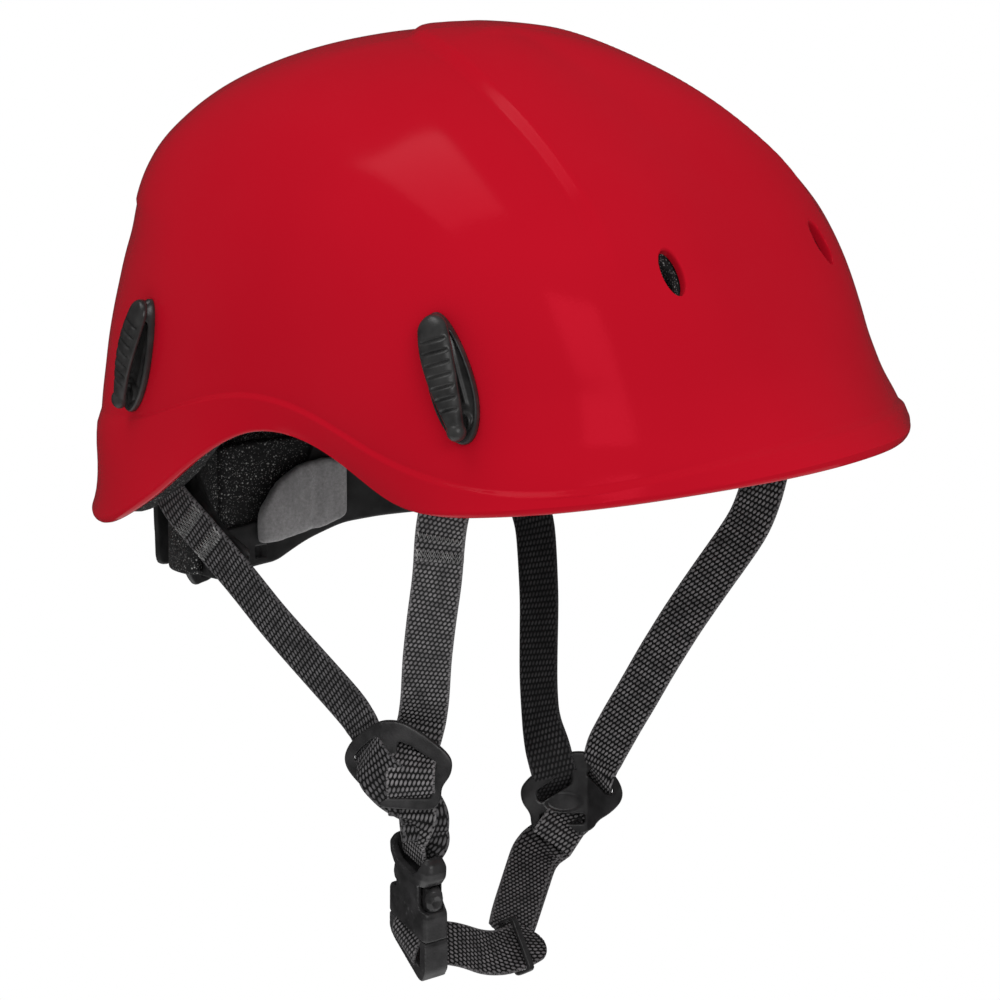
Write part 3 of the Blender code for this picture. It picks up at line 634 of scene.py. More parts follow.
def ring_strip(name, look, spans, offset, thickness, low, high, columns, swell=0.0, rounding=1.0, wave=None):
    """Strip that follows the head ring, with rounded edges and ends; swell fattens its middle."""
    share = np.linspace(0, 1, columns)
    theta = np.radians(spans[0] + (spans[1] - spans[0]) * share)
    nodes = np.linspace(0, 1, len(low))
    bottom, top = np.interp(share, nodes, low), np.interp(share, nodes, high)
    kernel = np.ones(5) / 5
    bottom = np.convolve(np.pad(bottom, 2, "edge"), kernel, "valid")
    top = np.convolve(np.pad(top, 2, "edge"), kernel, "valid")
    run = np.minimum(share, 1 - share) * abs(spans[1] - spans[0]) * 1.6
    ends = np.sqrt(1 - (1 - np.clip(run / 2.5, 0.02, 1))**2)
    sections = []
    for i in range(columns):
        half = (top[i] - bottom[i]) / 2
        middle = (top[i] + bottom[i]) / 2
        half = half - 2.0 * (1 - ends[i])
        section = fillet(box(-half, half, -thickness / 2 * ends[i], thickness / 2 * ends[i]), rounding, 4)
        heights = np.linspace(-0.8, 0.8, 7) * half
        inner = [(h, thickness / 2 * ends[i]) for h in heights[::-1]]
        outer = [(h, -thickness / 2 * ends[i]) for h in heights]
        loop = [*section[0:4], *outer, *section[4:12], *inner, *section[12:16]]
        points = []
        for along, out in loop:
            fat = swell * ends[i] * (1 - (along / half)**2) * np.sign(out)
            ripple = wave(math.degrees(theta[i]), middle + along) if wave and out > 0 else 0
            depth = offset + thickness / 2 + out + fat + ripple
            points.append(ring_point(theta[i], depth, middle + along))
        sections.append(points)
    return loft(name, sections, LOOKS[look])


def inflate(obj, pressure, cap, grain):
    """Swells a padded piece with a short cloth run; cap is the farthest that a point may move."""
    even_mesh(obj, grain)
    baked(obj)
    rest = np.array([v.co for v in obj.data.vertices])
    cloth = obj.modifiers.new("cloth", "CLOTH")
    cloth.settings.use_pressure = True
    cloth.settings.uniform_pressure_force = pressure
    cloth.settings.effector_weights.gravity = 0
    cloth.settings.tension_stiffness = cloth.settings.compression_stiffness = 40
    cloth.settings.bending_stiffness = 4
    scene = bpy.context.scene
    for step in range(1, CLOTH_STEPS + 1):
        scene.frame_set(step)
    baked(obj)
    scene.frame_set(1)
    moved = np.array([v.co for v in obj.data.vertices])
    if len(moved) == len(rest):
        shift = moved - rest
        size = np.linalg.norm(shift, axis=1, keepdims=True)
        moved = rest + shift * np.minimum(1, cap * MM / np.maximum(size, 1e-9))
        obj.data.vertices.foreach_set("co", moved.astype(np.float32).ravel())
    smooth = obj.modifiers.new("smooth", "SMOOTH")
    smooth.iterations = 3
    finer = obj.modifiers.new("finer", "SUBSURF")
    finer.levels = finer.render_levels = 1
    return baked(obj)


def build_head_ring():
    band = ring_strip("headband_strip", "band", (-120, 120), 1, 1.8, [0, 0, 2, 0, 0], [14, 17, 20, 17, 14],
                      140)
    stand_for(band, BODY, "band", "headband")
    brow = ring_strip("brow_cushion", "felt", (-58, 58), 3.4, 4.2, [1, 0, 0, 0, 1], [19, 21, 21, 21, 19], 70,
                      0.8, 1.6)
    stand_for(inflate(brow, 3, 0.8, 1.8), BODY, "felt", "brow_pad")
    theta = circle(90)
    rows = [CROWN_HEIGHT * share + 0 * theta for share in CROWN_PAD_SHARES]
    rings = [dome_ring(theta, h, CROWN_PAD_NEAR, False) for h in rows[::-1]]
    rings += [dome_ring(theta, h, CROWN_PAD_FAR, False) for h in rows]
    tops = (0, 0, CROWN_TOP - CROWN_PAD_NEAR), (0, 0, CROWN_TOP - CROWN_PAD_FAR)
    pad = stack_rings(rings, "crown_cushion", LOOKS["felt"], tops)
    stand_for(inflate(pad, 3, 0.9, 1.8), BODY, "felt", "crown_pad")


def pad_wrinkles(angle, height):
    """Creases of the felt pad: upright folds near its middle."""
    away = 180 - abs((angle + 180) % 360 - 180)
    fold = -2.0 * math.exp(-((away - 26 - 0.04 * (height + 55)) / 0.8)**2)
    fold -= 0.9 * math.exp(-((away - 23.2 + 0.05 * (height + 55)) / 0.7)**2)
    return fold + 0.9 * math.exp(-((away - 24.6) / 0.9)**2)


KNOB_RIBS = 24
KNOB_PROFILE = [(9.8, 3.1, 0), (10.9, 3.5, 1), (11.2, 4.4, 1), (11.2, 8.6, 1), (10.7, 9.8, 1),
                (9.6, 10.5, 0.3), (7.4, 10.6, 0), (6.6, 9.9, 0), (3.0, 9.8, 0), (1.5, 9.9, 0)]


def build_adjuster():
    """Thin plate behind the nape and the ribbed knob that turns on it."""
    axes = frame_at((-129, 0, -60), (-1, 0, 0))
    outline = fillet([(-24, -14), (24, -14), (25, 12), (-25, 12)], 4)
    plate = prism("size_plate", axes, outline, 0.1, 2.4, "band")
    stand_for(mould(plate, 0.5, 4), "cradle", "band", "adjuster_plate")
    turn = circle(144)
    ribs = 1 - 0.05 * smoothstep((np.cos(KNOB_RIBS * turn) + 0.2) / 0.8)
    rings = []
    for radius, depth, rib in KNOB_PROFILE:
        spread = radius * (1 - rib * (1 - ribs))
        ring = np.column_stack([spread * np.cos(turn), spread * np.sin(turn), 0 * turn + depth])
        rings.append(place(axes, ring))
    knob = stack_rings(rings, "ribbed_knob", LOOKS["band"])
    stand_for(knob, "knob", "band", "adjuster_knob")


def build_cradle():
    """Band behind the nape with a foam block and a felt pad on each side."""
    low, high = (edge + edge[-2::-1] for edge in (CRADLE_LOW, CRADLE_HIGH))
    cradle = ring_strip("nape_cradle_band", "band", CRADLE_SPAN, CRADLE_OFFSET, CRADLE_THICKNESS, low, high,
                        170)
    slots = []
    for angle in CRADLE_SLOTS:
        centre = ring_point(math.radians(angle), CRADLE_OFFSET + 1, SLOT_HEIGHT)
        outline = fillet(box(-SLOT_HALF, SLOT_HALF, -SLOT_HALF, SLOT_HALF), 0.4)
        slots.append(prism("slot", frame_at(centre, (-1, 0, 0)), outline, -6, 0.2, "band"))
    carve(cradle, slots)
    stand_for(cradle, "cradle", "band", "nape_cradle")
    for side in ("left", "right"):
        foam_span, felt_span = ([angle if side == "left" else 360 - angle for angle in span]
                                for span in (FOAM_SPAN, FELT_SPAN))
        foam = ring_strip("nape_foam_block_" + side, "foam", foam_span, FOAM_OFFSET, FOAM_THICKNESS,
                          FOAM_LOW, FOAM_HIGH, 60, 0, 1.2)
        stand_for(foam, "cradle", "foam", "nape_foam_" + side)
        pad = ring_strip("nape_felt_" + side, "felt", felt_span, PAD_OFFSET, FELT_THICKNESS,
                         FELT_LOW, FELT_HIGH, 64, 0.5, 1.4, pad_wrinkles)
        stand_for(inflate(pad, 2.5, 0.7, 1.1), "cradle", "felt", "nape_pad_" + side)


# ------------------------------------------------------------------ lamp clips

CLIPS = {"front": (-71, 31, 19), "rear": (-144.4, 17, -19)}
CLIP_HALF_LENGTH, CLIP_HALF_WIDTH, HINGE_BLOCK_TOP = 21, 7.6, 4.85
CLIP_PROFILE = [(1.0, 0.1), (1.0, 0.9), (0.995, 1.7), (0.975, 2.3), (0.945, 2.55), (0.91, 2.5), (0.885, 2.2),
                (0.865, 1.7), (0.85, 1.3)] + [(ratio, 1.15) for ratio in np.linspace(0.82, 0.05, 24)]
TONGUE_LIFT = [(-20, 3.7), (-14, 4.6), (-4, 5.6), (6, 5.2), (14, 3.9), (18, 3.0), (21, 2.6)]
TONGUE_HALF_WIDTH = [(-18.2, 2.4), (-14, 3.0), (-8, 4.1), (0, 5.0), (6, 5.6), (12, 5.6), (17, 5.0), (21, 4.3)]
TONGUE_THICKNESS, TONGUE_TIP, TONGUE_TOP = 3, -17.4, 20.6
BALL_PLACE, BALL_RADIUS, BALL_HALF_HEIGHT, BALL_LIFT = -16.4, 3.2, 3.1, 6.0


def clip_axes(angle, height, lean, mirror):
    """Frame of a clip on the shell; up is its long axis."""
    centre, out = on_shell(-mirror * angle, height)
    forward = unit(np.cross([0, 0, 1], out)) * -mirror
    up = unit(np.cross(forward, out))
    up = up if up[2] > 0 else -up
    tilt = math.radians(lean)
    long_axis = unit(up * math.cos(tilt) - forward * math.sin(tilt))
    return centre, unit(np.cross(long_axis, out)), long_axis, out


def above_shell(axes, across, along, lift):
    """Points over local (across, along) at a distance off the shell."""
    depth = np.zeros_like(across)
    for _ in range(7):
        depth += lift - shell_gap(place(axes, np.stack([across, along, depth], -1)))
    return place(axes, np.stack([across, along, depth], -1))


def clip_base(name, axes):
    """Egg-shaped base plate: raised rim, framed recess down its floor, and a notched cup at the bottom."""
    turn = circle(96)
    cosine, sine = np.cos(turn), np.sin(turn)
    rings = []
    for ratio, lift in CLIP_PROFILE:
        a = CLIP_HALF_WIDTH * ratio * cosine * (1 - 0.13 * sine)
        b = CLIP_HALF_LENGTH * ratio * sine
        height = np.full_like(a, lift)
        if ratio < 0.84:
            away = np.maximum(np.abs(a) - 3.2, np.maximum(-9 - b, b - 13))
            height = height + 0.8 * np.exp(-(away / 0.7)**2) - 0.5 * smoothstep(-away / 1.0)
            cup = np.hypot(a / 3.4, (b + 14.2) / 3.2)
            height = height + 1.6 * np.exp(-((cup - 1) / 0.2)**2) * smoothstep((b + 17.5) / 1.5)
            height = height - 0.6 * smoothstep((1 - cup) / 0.3)
        block = smoothstep((b - 14.0) / 2.5) * smoothstep((5.2 - np.abs(a)) / 1.2)
        height = height + (HINGE_BLOCK_TOP - height) * block * (ratio < 0.96)
        rings.append(above_shell(axes, a, b, height))
    rings.insert(0, above_shell(axes, 6.8 * cosine, (CLIP_HALF_LENGTH - 1) * sine, np.full_like(turn, -0.4)))
    return stack_rings(rings, name, LOOKS["clip"])


def clip_tongue(name, axes):
    """Leaf-shaped tongue over the base: rounded head merging into the base, ribs, and a ball at the tip."""
    low, high = TONGUE_TIP, TONGUE_TOP
    along = np.concatenate([np.linspace(low, low + 3, 12)[:-1], np.linspace(low + 3, high - 4, 110),
                            np.linspace(high - 4, high, 16)[1:]])
    sections = []
    for b in along:
        end = math.sqrt(max(1 - (max(b - high + 4.5, 0) / 4.5)**2, 0.0009))
        end = min(end, math.sqrt(max(1 - (max(low + 2.2 - b, 0) / 2.2)**2, 0.0009)))
        half = float(soft_table(TONGUE_HALF_WIDTH, b)) * end
        base = float(soft_table(TONGUE_LIFT, b))
        groove = sum(math.exp(-((b - spot) / 0.5)**2) for spot in np.linspace(-9.5, 12.5, 7))
        across, lift = [], []
        for t in circle(26):
            c, s = math.cos(t), math.sin(t)
            x = half * np.sign(c) * abs(c)**0.6
            y = np.sign(s) * abs(s)**0.7
            inside = float(smoothstep((0.88 * half - abs(x)) / 1.0))
            rise = TONGUE_THICKNESS * (0.3 + 0.7 * end) / 2 * (1 + y)
            if y > 0:
                rise += 0.7 * (1 - (x / half)**2) - (0.85 * groove - 0.2) * inside
            across.append(x)
            lift.append(base + rise)
        sections.append(above_shell(axes, np.array(across), np.full(len(across), b), np.array(lift)))
    tongue = loft(name, sections, LOOKS["clip"])
    turn = circle(32)
    rings = []
    for tilt in np.linspace(-math.pi / 2, math.pi / 2, 17)[1:-1]:
        radius, level = BALL_RADIUS * math.cos(tilt), BALL_LIFT + BALL_HALF_HEIGHT * math.sin(tilt)
        rings.append(above_shell(axes, radius * np.cos(turn), radius * np.sin(turn) + BALL_PLACE,
                                 np.full(32, level)))
    ball = stack_rings(rings, "ball", LOOKS["clip"])
    return join_solids(tongue, [ball])


def build_clips():
    for where, spec in CLIPS.items():
        for side, mirror in (("right", -1), ("left", 1)):
            axes = clip_axes(*spec, mirror)
            name = where + "_" + side
            stand_for(clip_base("lamp_clip_base_" + name, axes), BODY, "clip", "clip_base_" + name)
            tongue = clip_tongue("lamp_clip_tongue_" + name, axes)
            stand_for(tongue, "clip_" + name, "clip", "clip_tongue_" + name)


# ------------------------------------------------------------------ webbing

FREE, BENT = 4.0, 1.2
FINE_STEP = 0.25


def relaxed(rows, spacing):
    """Route through control rows, rounded as far as each row's last number says, and resampled evenly."""
    rows = np.array(rows, float)
    chord = np.linalg.norm(np.diff(rows[:, :3], axis=0), axis=1)
    knots = np.concatenate([[0], np.cumsum(chord)])
    fine = np.arange(0, knots[-1], FINE_STEP)
    dense = np.stack([np.interp(fine, knots, rows[:, k]) for k in range(rows.shape[1])], 1)
    soft = np.minimum(dense[:, -1], np.minimum(fine, fine[-1] - fine) / 2 + 0.05)
    curve = np.empty_like(dense)
    for i, here in enumerate(fine):
        share = np.exp(-0.5 * ((fine - here) / soft[i])**2)
        curve[i] = share @ dense / share.sum()
    length = np.concatenate([[0], np.cumsum(np.linalg.norm(np.diff(curve[:, :3], axis=0), axis=1))])
    even = np.linspace(0, length[-1], max(int(length[-1] / spacing), 4) + 1)
    return np.stack([np.interp(even, length, curve[:, k]) for k in range(rows.shape[1])], 1), even


def web_frames(route, spacing):
    """Centres, across and out directions, widths and lengths along a route; its rows hold x, y, z,
    the facing's x, y, z, the width, and the softness."""
    rows, length = relaxed(route, spacing)
    centre, facing, width = rows[:, :3], rows[:, 3:6], rows[:, 6]
    along = unit(np.gradient(centre, axis=0))
    across = unit(np.cross(along, facing))
    return centre, across, np.cross(across, along), width, length


def weave_height(across, along):
    """Relief of the woven floats, from 0 in the gaps to 1 on top of a float."""
    rows = along / WEAVE_ROW + ROWS_BEFORE
    in_row = np.mod(rows, 1) - 0.5
    columns = across / WEAVE_COLUMN + np.floor(rows) * TWILL_STEP + COLUMNS_BEFORE - FLOAT_LEAN * in_row
    in_column = np.mod(columns, 1) - 0.5
    rise = 1 - (in_column / FLOAT_HALF[0])**2 - (in_row / FLOAT_HALF[1])**2
    edge = smoothstep((7.6 - np.abs(across)) / 0.4)
    return np.sqrt(np.maximum(rise, 0)) * edge


def webbing(name, look, route, body, *nodes, round_end=False):
    """Woven strap along a route, on its body."""
    centre, across, out, width, length = web_frames(route, WEAVE_GRID)
    if round_end:
        left = length[-1] - length
        width = width * np.sqrt(1 - (1 - np.clip(left / 6.5, 0.03, 1))**2)
    flat = np.arange(-0.93, 0.9301, 2 * WEAVE_GRID / WEB_WIDTH)
    side_across, side_rise = [0.955, 0.985, 1.0, 0.985, 0.955], [0.9, 0.6, 0, -0.6, -0.9]
    loop_across = np.concatenate([flat, side_across, flat[::-1], [-v for v in side_across]])
    loop_rise = np.concatenate([np.ones(len(flat)), side_rise, -np.ones(len(flat)), [-v for v in side_rise]])
    core = WEB_THICKNESS / 2 - WEAVE_RELIEF
    sections, uv = [], []
    for i in range(len(centre)):
        a = loop_across * width[i] / 2
        relief = core + WEAVE_RELIEF * weave_height(a, length[i] + 0.7 * (loop_rise < 0))
        rise = loop_rise * np.where(np.abs(loop_rise) == 1, relief, core + 0.1)
        sections.append(centre[i] + a[:, None] * across[i] + rise[:, None] * out[i])
        uv += [(x, length[i]) for x in a]
    return stand_for(loft(name, sections, LOOKS[look], uv), body, look, *nodes)


STITCHES, STITCH_REACH, THREAD_RADIUS = 20, 1.25, 0.32


def bartack(name, route, start, rows, pitch):
    """Rows of zigzag stitches across the webbing, standing on its face."""
    centre, across, out, width, length = web_frames(route, 1.0)
    curve = bpy.data.curves.new(name, "CURVE")
    curve.dimensions = "3D"
    curve.bevel_depth, curve.bevel_resolution = THREAD_RADIUS * MM, 2
    curve.use_fill_caps = True
    for row in range(rows):
        i = int(np.argmin(abs(length - start - row * pitch)))
        along = np.cross(out[i], across[i])
        thread = curve.splines.new("POLY")
        thread.points.add(STITCHES)
        for k, point in enumerate(thread.points):
            reach = STITCH_REACH if k % 2 else -STITCH_REACH
            side = across[i] * (-0.88 + 1.76 * k / STITCHES) * width[i] / 2
            knot = centre[i] + side + out[i] * (WEB_THICKNESS / 2 + 0.12) + along * reach
            point.co = (*(knot * MM), 1)
    drawn = linked(name, curve)
    mesh = bpy.data.meshes.new_from_object(drawn.evaluated_get(bpy.context.evaluated_depsgraph_get()))
    bpy.data.objects.remove(drawn)
    mesh.materials.clear()
    mesh.materials.append(LOOKS["thread"])
    mesh.shade_smooth()
    return stand_for(linked(name, mesh), BODY, "thread")


FACE = unit(np.array((0.60, -0.77, 0.20)))
DIVIDER_RIGHT = frame_at((8.9, -62, -110.9), FACE)
DIVIDER_LEFT = frame_at((-9.7, 58, -154.2), -FACE)
DIVIDER_OUTLINE = [(-5.5, 14.8), (1.5, 14.6), (8.5, 10.5), (15.6, 5.1), (18.4, 1.4), (17.8, -3.3),
                   (14.6, -7.2), (14.6, -11.2), (12.4, -14.4), (8.5, -14.8), (-5.1, -13.9), (-8.0, -11.6),
                   (-8.8, -9.4), (-13.2, -6.3), (-17.0, -2.0), (-17.8, 2.0), (-15.6, 6.6), (-10.2, 11.4)]
LONG_SLOT = [(0.2, 8.0), (4.3, 6.6), (12.6, 1.0), (12.4, -1.8), (11.0, -3.2), (2.5, 2.0), (0.2, 3.6)]
SHORT_SLOT = [(-6.6, 9.4), (-8.4, 8.4), (-12.4, 4.6), (-14.4, 2.0), (-14.0, 0.4), (-11.8, 0.2), (-8.6, 3.4),
              (-5.0, 6.6)]
LOW_SLOT = [(-4.6, -7.0), (11.4, -7.2), (11.4, -10.8), (-4.4, -10.6)]
DIVIDER_DEPTH, WING_BEND, DISH_DEPTH = 2.5, -5.5, 0.7


def build_divider(side, axes):
    """Y-shaped plate with three slots, its short wing bent back and its middle dished."""
    outline = fillet(DIVIDER_OUTLINE, 3.0)
    plate = prism("divider_plate_" + side, axes, outline, -DIVIDER_DEPTH, DIVIDER_DEPTH, "buckle")
    carve(plate, [prism("slot", axes, fillet(shape, 0.9, 4), -5, 5, "buckle")
                  for shape in (LONG_SLOT, SHORT_SLOT, LOW_SLOT)])
    mould(plate, 0.34, 16)
    centre, across, up, out = axes
    co = np.array([v.co for v in plate.data.vertices]) / MM - centre
    local = np.stack([co @ across, co @ up, co @ out], 1)
    local[:, 2] -= np.maximum(WING_BEND - local[:, 0], 0)
    inside = smoothstep((7.5 - np.hypot(local[:, 0] - 3, (local[:, 1] + 3) * 1.9)) / 2.5)
    local[:, 2] -= DISH_DEPTH * inside * np.sign(local[:, 2])
    plate.data.vertices.foreach_set("co", (place(axes, local) * MM).astype(np.float32).ravel())
    return stand_for(plate, BODY, "buckle", "divider_" + side)


def local_rows(axes, points, facings):
    """Rows of a route from local points, each with a width, and local facings."""
    _, across, up, out = axes
    return [[*place(axes, (a, b, c)), *(face[0] * across + face[1] * up + face[2] * out), width, BENT]
            for (a, b, c, width), face in zip(points, facings)]


SHORT_SIDE = [(-9.6, 8.4, -6.6, 15), (-9.6, 5.1, -3.2, 15), (-8.6, 1.5, 1.6, 15), (-5.6, -3.2, 3.6, 15.6),
              (-1.0, -7.4, 2.6, 16), (1.6, -9.4, 0.0, 16)]
SHORT_FACES = [(-0.75, 0, 0.66), (-0.72, 0, 0.7), (-0.6, 0, 0.8), (-0.3, 0, 0.95), (-0.1, 0, 1), (0, 0, 1)]
LONG_SIDE = [(8.2, 14.5, -3.8, 16), (7.0, 9.8, -3.8, 16), (6.0, 6.4, -2.2, 16), (5.2, 3.2, 1.4, 16),
             (4.6, -0.6, 4.4, 16), (4.4, -6.2, 4.8, 16), (4.6, -9.0, 2.6, 16)]
LONG_FACES = [(0, 0, 1)] * len(LONG_SIDE)
BACKWARD = (0, 0, -1)

BUCKLE_TOP = np.array((10.3, -52.9, -141.0))
BUCKLE_DOWN = unit(np.array((-0.145, 0.18, -0.968)))
BUCKLE_FACE = np.array((-0.374, -0.927, 0.0))
BUCKLE_ACROSS = unit(np.cross(BUCKLE_FACE, BUCKLE_DOWN))
BUCKLE_OUT = np.cross(BUCKLE_DOWN, BUCKLE_ACROSS)
BUCKLE_OUT = BUCKLE_OUT if BUCKLE_OUT @ BUCKLE_FACE > 0 else -BUCKLE_OUT
BUCKLE = (BUCKLE_TOP, BUCKLE_ACROSS, BUCKLE_DOWN, BUCKLE_OUT)


def at_buckle(points, facings=((0, 0, 1),) * 3):
    """Rows of a route at the buckle, from local points and facings."""
    return local_rows(BUCKLE, [(*point, WEB_WIDTH) for point in points], facings)


REAR_RIGHT = [(-83, -72.6, -23), (-78.8, -72.5, -32.8), (-73.5, -71.5, -37.3), (-67, -70.5, -43.3),
              (-59.7, -69.4, -50), (-52.2, -68.3, -56.9), (-39.8, -66.9, -68.9), (-26.5, -64.7, -80.8),
              (-13.2, -62.4, -92.6), (-6.7, -61.5, -98.6)]
FRONT_RIGHT = [(54.5, -88.6, 0), (50.6, -88.4, -13), (47.9, -86.5, -17.8), (44.7, -83.6, -24.7),
               (37.9, -76.7, -40.4), (30.3, -70.2, -56.2), (22.8, -63.3, -72.4), (15.9, -55.9, -88.9)]
REAR_LEFT = [(-62, 76, -20), (-50, 75.6, -42), (-39.3, 74.8, -63.5), (-35.4, 71.2, -76.1),
             (-31.6, 67.3, -89.3), (-28.4, 62.8, -102.5), (-25.2, 58.5, -115.6), (-21.3, 54.7, -128.7)]
FRONT_LEFT = [(54, 87.4, 0), (56, 84.2, -22), (52.7, 82.6, -39.5), (49, 81.7, -50.5), (44.9, 79.9, -57.9),
              (36.1, 75.7, -72.6), (27.4, 71.7, -87.5), (19.4, 68.2, -102.6), (11.9, 65.1, -117.8),
              (7.9, 63.4, -125.4), (4.3, 62, -133), (1.7, 60.8, -138)]


LAYER_STEP, DOUBLED_END = 1.65, (41.2, -80.0, -33.0)


def free_rows(points, first, last):
    """Rows of a free stretch, its facing turning evenly from the first to the last."""
    first, last = np.array(first, float), np.array(last, float)
    shares = np.linspace(0, 1, len(points))
    return [[*p, *unit(first + (last - first) * share), WEB_WIDTH, FREE] for p, share in zip(points, shares)]


def build_straps():
    right, left = DIVIDER_RIGHT, DIVIDER_LEFT
    route = free_rows(REAR_RIGHT, (-0.12, -0.98, -0.05), (-0.19, -0.97, 0.1))
    route += local_rows(right, SHORT_SIDE, SHORT_FACES)
    below = [(6.4, -12.4, -5.0, 16), (9.4, -18.0, -6.0, 16), (9.4, -23.5, -5.0, 16)]
    route += local_rows(right, below, [(0.1, 0, 1), (0.2, 0, 1), (0.4, 0, 0.9)])
    route += at_buckle([(1.2, 0.5, -1.8), (0.6, 5.5, -1.4)])
    # The rear right strap takes the webbing copy with painted shade.
    webbing("harness_rear_right", "web_shaded", route, BODY, "strap_rear_right", "strap_doubled_right")
    bartack("bartack_rear_right_upper", route, 19, 2, 2.2)
    bartack("bartack_rear_right_lower", route, 29, 2, 2.2)

    route = free_rows(FRONT_RIGHT, (0.5, -0.85, 0.12), FACE)
    route += local_rows(right, LONG_SIDE, LONG_FACES)
    below = [(4.9, -12.8, -2.2, 16), (5.0, -17.5, -1.6, 16)]
    route += local_rows(right, below, [(0, 0, 1), (-0.1, 0, 1)])
    route += at_buckle([(-1.0, -5.0, 1.8), (-0.8, 1.0, 1.2), (-0.6, 5.5, 0.6)])
    webbing("harness_front_right", "web", route, BODY, "strap_front_right")
    over = [[*(np.array(row[:3]) + LAYER_STEP * np.array(row[3:6])), *row[3:]] for row in route[:4]]
    over.append([*(np.array(DOUBLED_END) + LAYER_STEP * FACE), *FACE, WEB_WIDTH, FREE])
    webbing("harness_doubled_right", "web", over, BODY)
    bartack("bartack_front_right_upper", over, 25.5, 1, 0)
    bartack("bartack_front_right_lower", over, 33.2, 2, 1.5)

    route = free_rows(REAR_LEFT, (0.2, -0.97, 0.1), (0.02, -0.98, 0.15))
    points = LONG_SIDE + [(4.6, -12.2, -2.9, 16), (8.0, -17.0, -3.0, 16)]
    route += local_rows(left, points, [BACKWARD] * len(points))
    # The rear left strap takes the darkest webbing copy: painted deep shade.
    webbing("harness_rear_left", "web_deep_shaded", route, BODY, "strap_rear_left")
    route = free_rows(FRONT_LEFT, (0.25, -0.96, 0.05), (0.2, -0.97, 0.15))
    short_left = [(-f[0], f[1], -f[2]) for f in SHORT_FACES]
    route += local_rows(left, SHORT_SIDE, short_left)
    route += local_rows(left, [(4.0, -12.2, -4.6, 16), (7.4, -17.4, -4.8, 16)], [BACKWARD] * 2)
    webbing("harness_front_left", "web", route, BODY, "strap_front_left")


CHIN = [((-13.6, 51.8, -169.5), (0.55, -0.55, 0.6)), ((-16.2, 44.6, -173.0), (0.62, -0.35, 0.7)),
        ((-8.4, 28.8, -178.6), (0.63, -0.24, 0.74)), ((2.0, 8.8, -184.2), (0.66, -0.2, 0.72)),
        ((8.4, -3.0, -187.0), (0.8, -0.15, 0.55))]


LOOP = [((-0.6, 30.6, 2.4), (0, 0, 1)), ((-1.6, 35.0, 4.2), (0, 0, 1)), ((-2.4, 38.6, 4.6), (0, 0, 1)),
        ((-3.0, 41.4, 3.0), (-0.3, 0.8, 0.9)), ((-3.0, 42.4, 0.4), (-0.2, 1, 0.1)),
        ((-1.4, 41.2, -2.6), (-0.1, 0.9, -0.7)), ((1.6, 37.6, -4.6), (0.1, 0.1, -1))]
CHIN_LOWER = [((9.6, -39.0, -178.6), (0.8, 0.5, 0.1), 15), ((11.6, -30.5, -181.6), (0.9, 0.25, 0.3), 15.5),
              ((11.9, -22, -186.4), (0.9, 0.05, 0.42), 16), ((12.9, -12, -189.4), (0.82, -0.05, 0.56), 16),
              ((13.4, -3, -189.6), (0.8, -0.05, 0.6), 16), ((13.6, 3, -189.4), (0.62, 0, 0.78), 15.5),
              ((13.8, 9.0, -189.6), (0.5, 0, 0.87), 15)]


def build_chin():
    chin = [[*point, *face, WEB_WIDTH, FREE] for point, face in CHIN]
    outer = webbing("chin_webbing_upper", "chin", chin, None, "chin_strap_upper")
    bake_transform(outer)
    behind = [[x - 1.1 * fx + 0.5, y - 1.1 * fy + 1.4, z - 1.1 * fz - 0.9, fx, fy, fz, w, soft]
              for x, y, z, fx, fy, fz, w, soft in chin]
    second = webbing("chin_webbing_upper_second", "chin", behind, None)
    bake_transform(second)
    webbing("chin_webbing_loop", "chin", at_buckle(*zip(*LOOP)), "plug")
    lower = [[*point, *face, width, FREE] for point, face, width in CHIN_LOWER]
    webbing("chin_webbing_lower", "chin", lower, "plug", "chin_strap_lower", "strap_tail", round_end=True)


def build_keeper():
    centre, along = np.array((12.6, -2.4, -189.2)), unit(np.array((0.06, 0.98, -0.06)))
    facing = np.array((0.86, -0.05, 0.5))
    facing = unit(facing - (facing @ along) * along)
    axes = centre, facing, np.cross(along, facing), along
    ring = prism("webbing_keeper", axes, fillet(box(-4.6, 3.4, -9.9, 9.9), 2.0), -1.3, 1.3, "buckle")
    hole = prism("hole", axes, fillet(box(-3.2, 2.0, -8.6, 8.6), 1.0), -4, 4, "buckle")
    carve(ring, [hole])
    stand_for(mould(ring, 0.3, 6), "plug", "buckle", "strap_keeper")


SOCKET = [(-0.8, 10.6, 3.4, 0.7), (0.8, 12.6, 4.9, 0.65), (3, 13.8, 5.6, 0.6), (6.2, 13.6, 5.5, 0.6),
          (8.6, 11.8, 5.0, 0.5), (10.6, 10.2, 4.6, 0.4), (16, 10.0, 4.5, 0.34), (18.6, 11.8, 4.7, 0.3),
          (20.4, 12.9, 4.9, 0.27), (29.9, 13.0, 4.9, 0.25)]
PLUG_OUTLINE = [(-12.6, 30.5), (12.6, 30.5), (12.6, 42), (10.2, 46.4), (7.4, 46.6), (-9.8, 39.6), (-12.6, 37)]
PRONG_OUTLINE = [(4.2, 30.9), (6.8, 30.9), (7.8, 22), (9.6, 19.6), (12.0, 18.8), (12.9, 15.0), (12.2, 11.4),
                 (10.0, 10.4), (6.8, 11.2), (5.6, 20)]
PRONG_PAD = [(10.2, 0.5, 0.6, 1), (10.9, 1.5, 2.0, 1), (12.4, 2.1, 2.9, 1), (14.8, 2.3, 3.2, 1),
             (17.2, 2.1, 2.9, 1), (18.6, 1.5, 2.0, 1), (19.3, 0.5, 0.6, 1)]
PAD_DISH = [(11.8, 0.5, 1.0, 1), (14.8, 1.4, 2.0, 1), (17.8, 0.5, 1.0, 1)]
PAD_ACROSS, DISH_ACROSS = 10.9, 13.6


